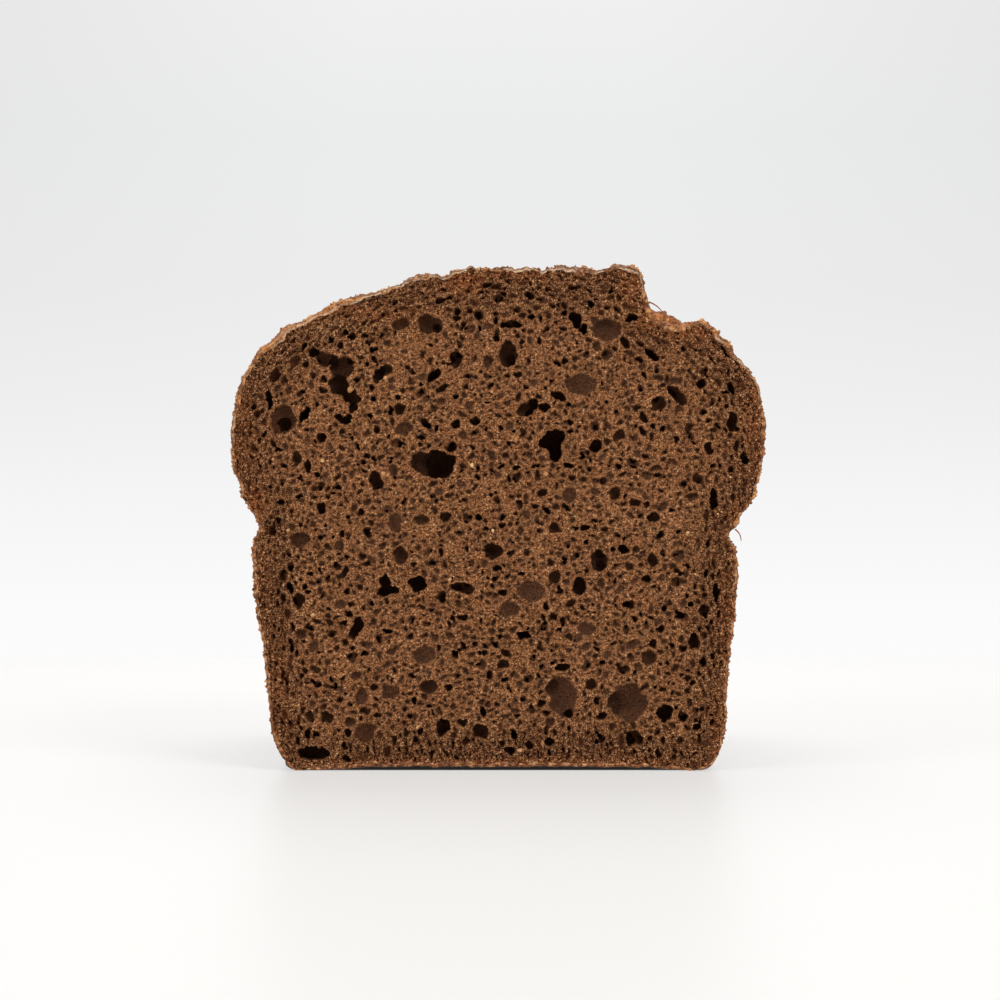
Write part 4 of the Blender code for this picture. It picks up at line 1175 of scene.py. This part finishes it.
def span(tree, value, low, high, top=1.0):
    """0 at low, rising to top at high."""
    ends = {"From Min": low, "From Max": high, "To Min": 0.0, "To Max": top}
    return node(tree, "ShaderNodeMapRange", {"Value": value, **ends}).outputs["Result"]


def dress(tree, shader, base, rough, shine, height, strength, reach, under=None):
    """Joins the colour and the bump to the shader. under is a coarser bump that lies below this one."""
    tree.links.new(base, shader.inputs["Base Color"])
    shader.inputs["Roughness"].default_value = rough
    shader.inputs["Specular IOR Level"].default_value = shine
    inputs = {"Strength": strength, "Distance": reach, "Height": height}
    if under is not None:
        inputs["Normal"] = under
    bump = node(tree, "ShaderNodeBump", inputs)
    tree.links.new(bump.outputs["Normal"], shader.inputs["Normal"])


def crumb_material():
    colours = bpy.context.scene.loaf_colours
    material, tree, shader = new_material("wholemeal_crumb")
    land = attribute(tree, "land")
    near = attribute(tree, "near_crust")
    grain = grain_node(tree, 0.48, 0.53)
    # the darker colour of the cells' walls is painted shade inside the cells
    base = ramp(tree, land, ((0.0, colours.cell), (0.35, srgb(88, 56, 38)), (1.0, colours.crumb)))
    reddish = product(tree, span(tree, object_noise(tree, 260.0, 3.0), 0.38, 0.66, 0.5), land)
    patchy = node(tree, "ShaderNodeMath", {
        0: span(tree, object_noise(tree, 330.0, 2.0), 0.4, 0.6), 1: span(tree, near, 0.3, 0.9),
    }, operation="MAXIMUM")
    sparkle = product(tree, patchy.outputs[0], span(tree, land, 0.1, 0.9, 0.9))
    pits = span(tree, object_noise(tree, 1000.0, 1.0), 0.56, 0.63)
    base = layered(tree, base, (
        (reddish, srgb(108, 58, 30)),
        (span(tree, near, 0.1, 0.6, 0.84), colours.near_crust),
        (product(tree, attribute(tree, "toast"), 0.75), colours.toasted),
        (product(tree, grain["Dark"], 0.78), srgb(44, 21, 10)),
        (product(tree, grain["Pore"], span(tree, land, -0.3, 0.8, 0.8)), srgb(34, 16, 8)),
        # painted highlights: glints on the whole crumb
        (product(tree, grain["Glint"], span(tree, land, -0.15, 0.9, 0.9)), srgb(222, 162, 110)),
        # painted highlight on the crumb's small beads
        (product(tree, attribute(tree, "bead"), 0.6), srgb(206, 150, 100)),
        # painted highlight: sparkling specks, thickest near the crust
        (product(tree, grain["Speck"], sparkle), srgb(232, 184, 138)),
        (product(tree, pits, span(tree, near, 0.4, 0.8, 0.8)), srgb(34, 15, 8)),
        (span(tree, near, 0.6, 0.95, 0.16), srgb(76, 26, 10)),
        # painted shade deep in the cells, darker with depth
        (span(tree, attribute(tree, "hollow"), 0.14, 0.7, 0.85), srgb(46, 25, 14)),
    ))
    dress(tree, shader, base, 0.7, 0.05, grain["Height"], 1.0, 0.00025)
    return material


def base_gap_shadow(tree):
    """Painted shadow in the gap under the cut: the base crust there is coloured near black, by its place in
    the loaf.
    """
    place = node(tree, "ShaderNodeTexCoord").outputs["Object"]
    axes = node(tree, "ShaderNodeSeparateXYZ", {"Vector": place}).outputs
    low = span(tree, axes["Z"], 1.6 * MM, 1.2 * MM)
    return product(tree, low, span(tree, axes["Y"], (FRONT + 0.5) * MM, (FRONT + 0.8) * MM))


def crust_material():
    colours = bpy.context.scene.loaf_colours
    material, tree, shader = new_material("dark_crust")
    tin = attribute(tree, "tin")
    high = attribute(tree, "high")
    grain = grain_node(tree, 0.44, 0.6)
    crown = ramp(tree, high, (
        (0.15, srgb(50, 28, 16)), (0.45, colours.crown), (0.7, srgb(120, 77, 45)), (0.92, srgb(168, 118, 74)),
    ))
    walls = ramp(tree, object_noise(tree, 95.0, 5.0), (
        (0.32, srgb(70, 41, 25)), (0.5, colours.walls), (0.68, srgb(128, 84, 54)),
    ))
    rim = ramp(tree, object_noise(tree, 800.0, 3.0), (
        (0.36, srgb(88, 48, 26)), (0.5, srgb(146, 88, 50)), (0.64, srgb(214, 158, 108)),
    ))
    crumbly = span(tree, object_noise(tree, 700.0, 4.0), 0.36, 0.6, 0.85)
    dusted = span(tree, object_noise(tree, 180.0, 6.0, 0.7), 0.52, 0.7)
    risen = node(tree, "ShaderNodeMath", {0: 1.0, 1: tin}, operation="SUBTRACT").outputs[0]
    floury = product(tree, product(tree, dusted, span(tree, high, 0.35, 0.8, 0.5)), risen)
    base = layered(tree, crown, (
        (tin, walls),
        (span(tree, object_noise(tree, 340.0, 3.0), 0.4, 0.7, 0.4), srgb(70, 34, 16)),
        (product(tree, attribute(tree, "torn"), crumbly), srgb(156, 86, 40)),
        (product(tree, attribute(tree, "edge"), 0.92), rim),
        # golden shoulders: baked colour with a painted highlight from the top light
        (product(tree, attribute(tree, "golden"), crumbly), srgb(206, 132, 62)),
        (product(tree, grain["Dark"], 0.6), srgb(60, 30, 15)),
        (product(tree, grain["Pore"], 0.6), srgb(40, 19, 10)),
        (span(tree, object_noise(tree, 620.0, 1.0), 0.62, 0.68, 0.7), srgb(46, 25, 14)),
        (span(tree, object_noise(tree, 1100.0, 1.0), 0.65, 0.72, 0.75), srgb(180, 130, 86)),
        (floury, colours.flour),
        # painted glints on the crust
        (product(tree, grain["Glint"], 0.28), srgb(200, 144, 92)),
        # painted highlight along the cut edge of the crown's crust
        (product(tree, attribute(tree, "pale"), span(tree, grain["Height"], 0.3, 0.56)), srgb(214, 190, 160)),
        # painted shadow in the gap under the cut
        (base_gap_shadow(tree), srgb(12, 7, 5)),
    ))
    coarse = node(tree, "ShaderNodeBump", {
        "Strength": 0.6, "Distance": 0.0006, "Height": object_noise(tree, 560.0, 5.0, 0.65),
    })
    dress(tree, shader, base, 0.66, 0.25, grain["Height"], 0.7, 0.00022, coarse.outputs["Normal"])
    return material


def crumb_bit_material():
    material, tree, shader = new_material("toasted_crumbs")
    grain = grain_node(tree, 0.45, 0.56)
    base = ramp(tree, object_noise(tree, 420.0, 2.0), (
        (0.35, srgb(84, 44, 22)), (0.5, bpy.context.scene.loaf_colours.loose), (0.65, srgb(204, 142, 82)),
    ))
    base = layered(tree, base, (
        (product(tree, grain["Dark"], 0.5), srgb(70, 34, 16)),
        # painted glints on the crumbs
        (product(tree, grain["Glint"], 0.6), srgb(228, 184, 134)),
    ))
    dress(tree, shader, base, 0.65, 0.25, grain["Height"], 0.6, 0.00015)
    return material


def grain_material():
    material, tree, shader = new_material("pale_bran")
    grain = grain_node(tree, 0.42, 0.56)
    base = ramp(tree, object_noise(tree, 380.0, 2.0), (
        (0.38, srgb(168, 116, 70)), (0.52, srgb(198, 146, 98)), (0.64, srgb(222, 178, 122)),
    ))
    base = layered(tree, base, ((product(tree, grain["Dark"], 0.4), srgb(110, 66, 38)),))
    dress(tree, shader, base, 0.6, 0.25, grain["Height"], 0.5, 0.00015)
    return material


def fibre_material():
    material, tree, shader = new_material("amber_bran")
    grain = grain_node(tree, 0.4, 0.58)
    base = ramp(tree, object_noise(tree, 520.0, 3.0), (
        (0.36, srgb(86, 38, 10)), (0.5, srgb(142, 70, 18)), (0.66, srgb(200, 118, 38)),
    ))
    # painted glints on the fibres
    base = layered(tree, base, ((product(tree, grain["Glint"], 0.5), srgb(238, 176, 92)),))
    shader.inputs["Subsurface Weight"].default_value = 0.3
    shader.inputs["Subsurface Scale"].default_value = 0.001
    dress(tree, shader, base, 0.5, 0.5, grain["Height"], 0.5, 0.00012)
    return material


def plain_sheet(name, place, material):
    """A flat square of the stage."""
    bm = bmesh.new()
    bmesh.ops.create_grid(bm, x_segments=1, y_segments=1, size=STAGE_HALF, matrix=place)
    sheet = mesh_object(name, mesh_from(bm, name))
    sheet.data.materials.append(material)


def table_material():
    material, _, shader = new_material("pale_table")
    shader.inputs["Base Color"].default_value = (0.29, 0.286, 0.276, 1.0)
    shader.inputs["Emission Color"].default_value = (0.528, 0.524, 0.517, 1.0)
    shader.inputs["Emission Strength"].default_value = 1.0
    shader.inputs["Roughness"].default_value = 0.42
    shader.inputs["Specular IOR Level"].default_value = 0.14
    return material


# The backdrop's glowing grey from its bottom to its top, a painted fall-off of light: share of the height,
# then red, green and blue
BACKDROP_GREYS = (
    (0.0, (252, 252, 252)), (0.12, (251, 251, 251)), (0.28, (245, 245, 245)), (0.42, (240, 240, 240)),
    (0.58, (236, 236, 236)), (0.8, (235, 236, 236)), (1.0, (240, 240, 240)),
)
BACKDROP_CORNERS = (221, 221, 221)


def backdrop_material():
    """A wall that gives its own soft light, a little darker in its upper corners: painted fall-off of the
    light.
    """
    material, tree, shader = new_material("pale_backdrop")
    place = node(tree, "ShaderNodeTexCoord").outputs["Object"]
    axes = node(tree, "ShaderNodeSeparateXYZ", {"Vector": place}).outputs
    height = span(tree, axes["Z"], -0.1, 0.5)
    glow = ramp(tree, height, [(share, srgb(*grey)) for share, grey in BACKDROP_GREYS])
    sideways = node(tree, "ShaderNodeMath", {0: axes["X"]}, operation="ABSOLUTE").outputs[0]
    # painted shade in the upper corners
    corners = product(tree, span(tree, sideways, 0.12, 0.45, 0.5), span(tree, height, 0.28, 1.0))
    glow = layered(tree, glow, ((corners, srgb(*BACKDROP_CORNERS)),))
    shader.inputs["Base Color"].default_value = (0.0, 0.0, 0.0, 1.0)
    shader.inputs["Specular IOR Level"].default_value = 0.0
    shader.inputs["Emission Strength"].default_value = 1.0
    tree.links.new(glow, shader.inputs["Emission Color"])
    return material


# The stage, in metres: the floor meets the backdrop behind the loaf, and the camera looks straight at the cut
STAGE_HALF = 2.0  # half-width of the floor and the backdrop
FLOOR_BACK = 0.447
BACKDROP_BEHIND = 1.5
CAMERA_AHEAD = 0.625
CAMERA_ACROSS, CAMERA_HEIGHT = 0.0004, 0.06775
LIGHT_TARGET = (0.0, 0.0, 0.06)
LAMPS = (
    ("key", (0.5, -0.7, 0.75), 0.4), ("fill", (-0.7, -0.55, 0.5), 0.4), ("top_back", (0.0, 0.35, 0.7), 0.5),
)


def add_world(scene):
    world = bpy.data.worlds.new("studio")
    world.use_nodes = True
    background = world.node_tree.nodes["Background"]
    background.inputs["Color"].default_value = (1.0, 1.0, 1.0, 1.0)
    background.inputs["Strength"].default_value = 0.5
    scene.world = world


def add_camera(scene):
    camera = bpy.data.cameras.new("camera")
    camera.lens = 90.0
    camera.sensor_width = 36.0
    camera.clip_start = 0.01
    eye = bpy.data.objects.new("camera", camera)
    eye.location = (CAMERA_ACROSS, FRONT * MM - CAMERA_AHEAD, CAMERA_HEIGHT)
    eye.rotation_euler = (math.pi / 2, 0.0, 0.0)
    scene.collection.objects.link(eye)
    scene.camera = eye


def add_lamps(scene):
    for name, place, size in LAMPS:
        lamp = bpy.data.lights.new(name, "AREA")
        lamp.size = size
        lamp.energy = getattr(scene.loaf_studio, name)
        obj = bpy.data.objects.new(name, lamp)
        obj.location = place
        aim = Vector(LIGHT_TARGET) - Vector(place)
        obj.rotation_euler = aim.to_track_quat("-Z", "Y").to_euler()
        scene.collection.objects.link(obj)


class LOAF_OT_stage(bpy.types.Operator):
    """Builds the pale floor, the backdrop, the lights and the camera"""

    bl_idname = "loaf.stage"
    bl_label = "Stage"

    def execute(self, context):
        front = FRONT * MM
        level = Matrix.Translation((0.0, front + FLOOR_BACK - STAGE_HALF, 0.0))
        behind = Matrix.Translation((0.0, front + BACKDROP_BEHIND, 0.0))
        plain_sheet("floor", level, table_material())
        plain_sheet("backdrop", behind @ Matrix.Rotation(math.pi / 2, 4, "X"), backdrop_material())
        add_world(context.scene)
        add_camera(context.scene)
        add_lamps(context.scene)
        context.scene.view_settings.view_transform = "Standard"
        return {"FINISHED"}


class LOAF_PT_panel(bpy.types.Panel):
    """Buttons for each part of the loaf"""

    bl_idname = "LOAF_PT_panel"
    bl_label = "Tin loaf"
    bl_space_type = "VIEW_3D"
    bl_region_type = "UI"
    bl_category = "Tin loaf"

    def draw(self, context):
        for label in GROUPS:
            settings = getattr(context.scene, label)
            box = self.layout.box()
            for name in settings.bl_rna.properties.keys():
                if name not in {"rna_type", "name"}:
                    box.prop(settings, name)
        for operator in STEPS:
            self.layout.operator(operator.bl_idname)


GROUPS = {"loaf_shape": LoafShape, "loaf_colours": LoafColours, "loaf_studio": LoafStudio}
STEPS = (
    LOAF_OT_crumb, LOAF_OT_crust, LOAF_OT_loose_crumbs, LOAF_OT_pale_grains, LOAF_OT_fibres, LOAF_OT_stage,
)
CLASSES = (*GROUPS.values(), *STEPS, LOAF_PT_panel)


def register():
    for item in CLASSES:
        bpy.utils.register_class(item)
    for name, settings in GROUPS.items():
        setattr(bpy.types.Scene, name, PointerProperty(type=settings))


def unregister():
    for name in GROUPS:
        delattr(bpy.types.Scene, name)
    for item in reversed(CLASSES):
        bpy.utils.unregister_class(item)


def main():
    register()
    bpy.ops.loaf.crumb()
    bpy.ops.loaf.crust()
    bpy.ops.loaf.loose_crumbs()
    bpy.ops.loaf.pale_grains()
    bpy.ops.loaf.fibres()
    bpy.ops.loaf.stage()


if __name__ == "__main__":
    main()
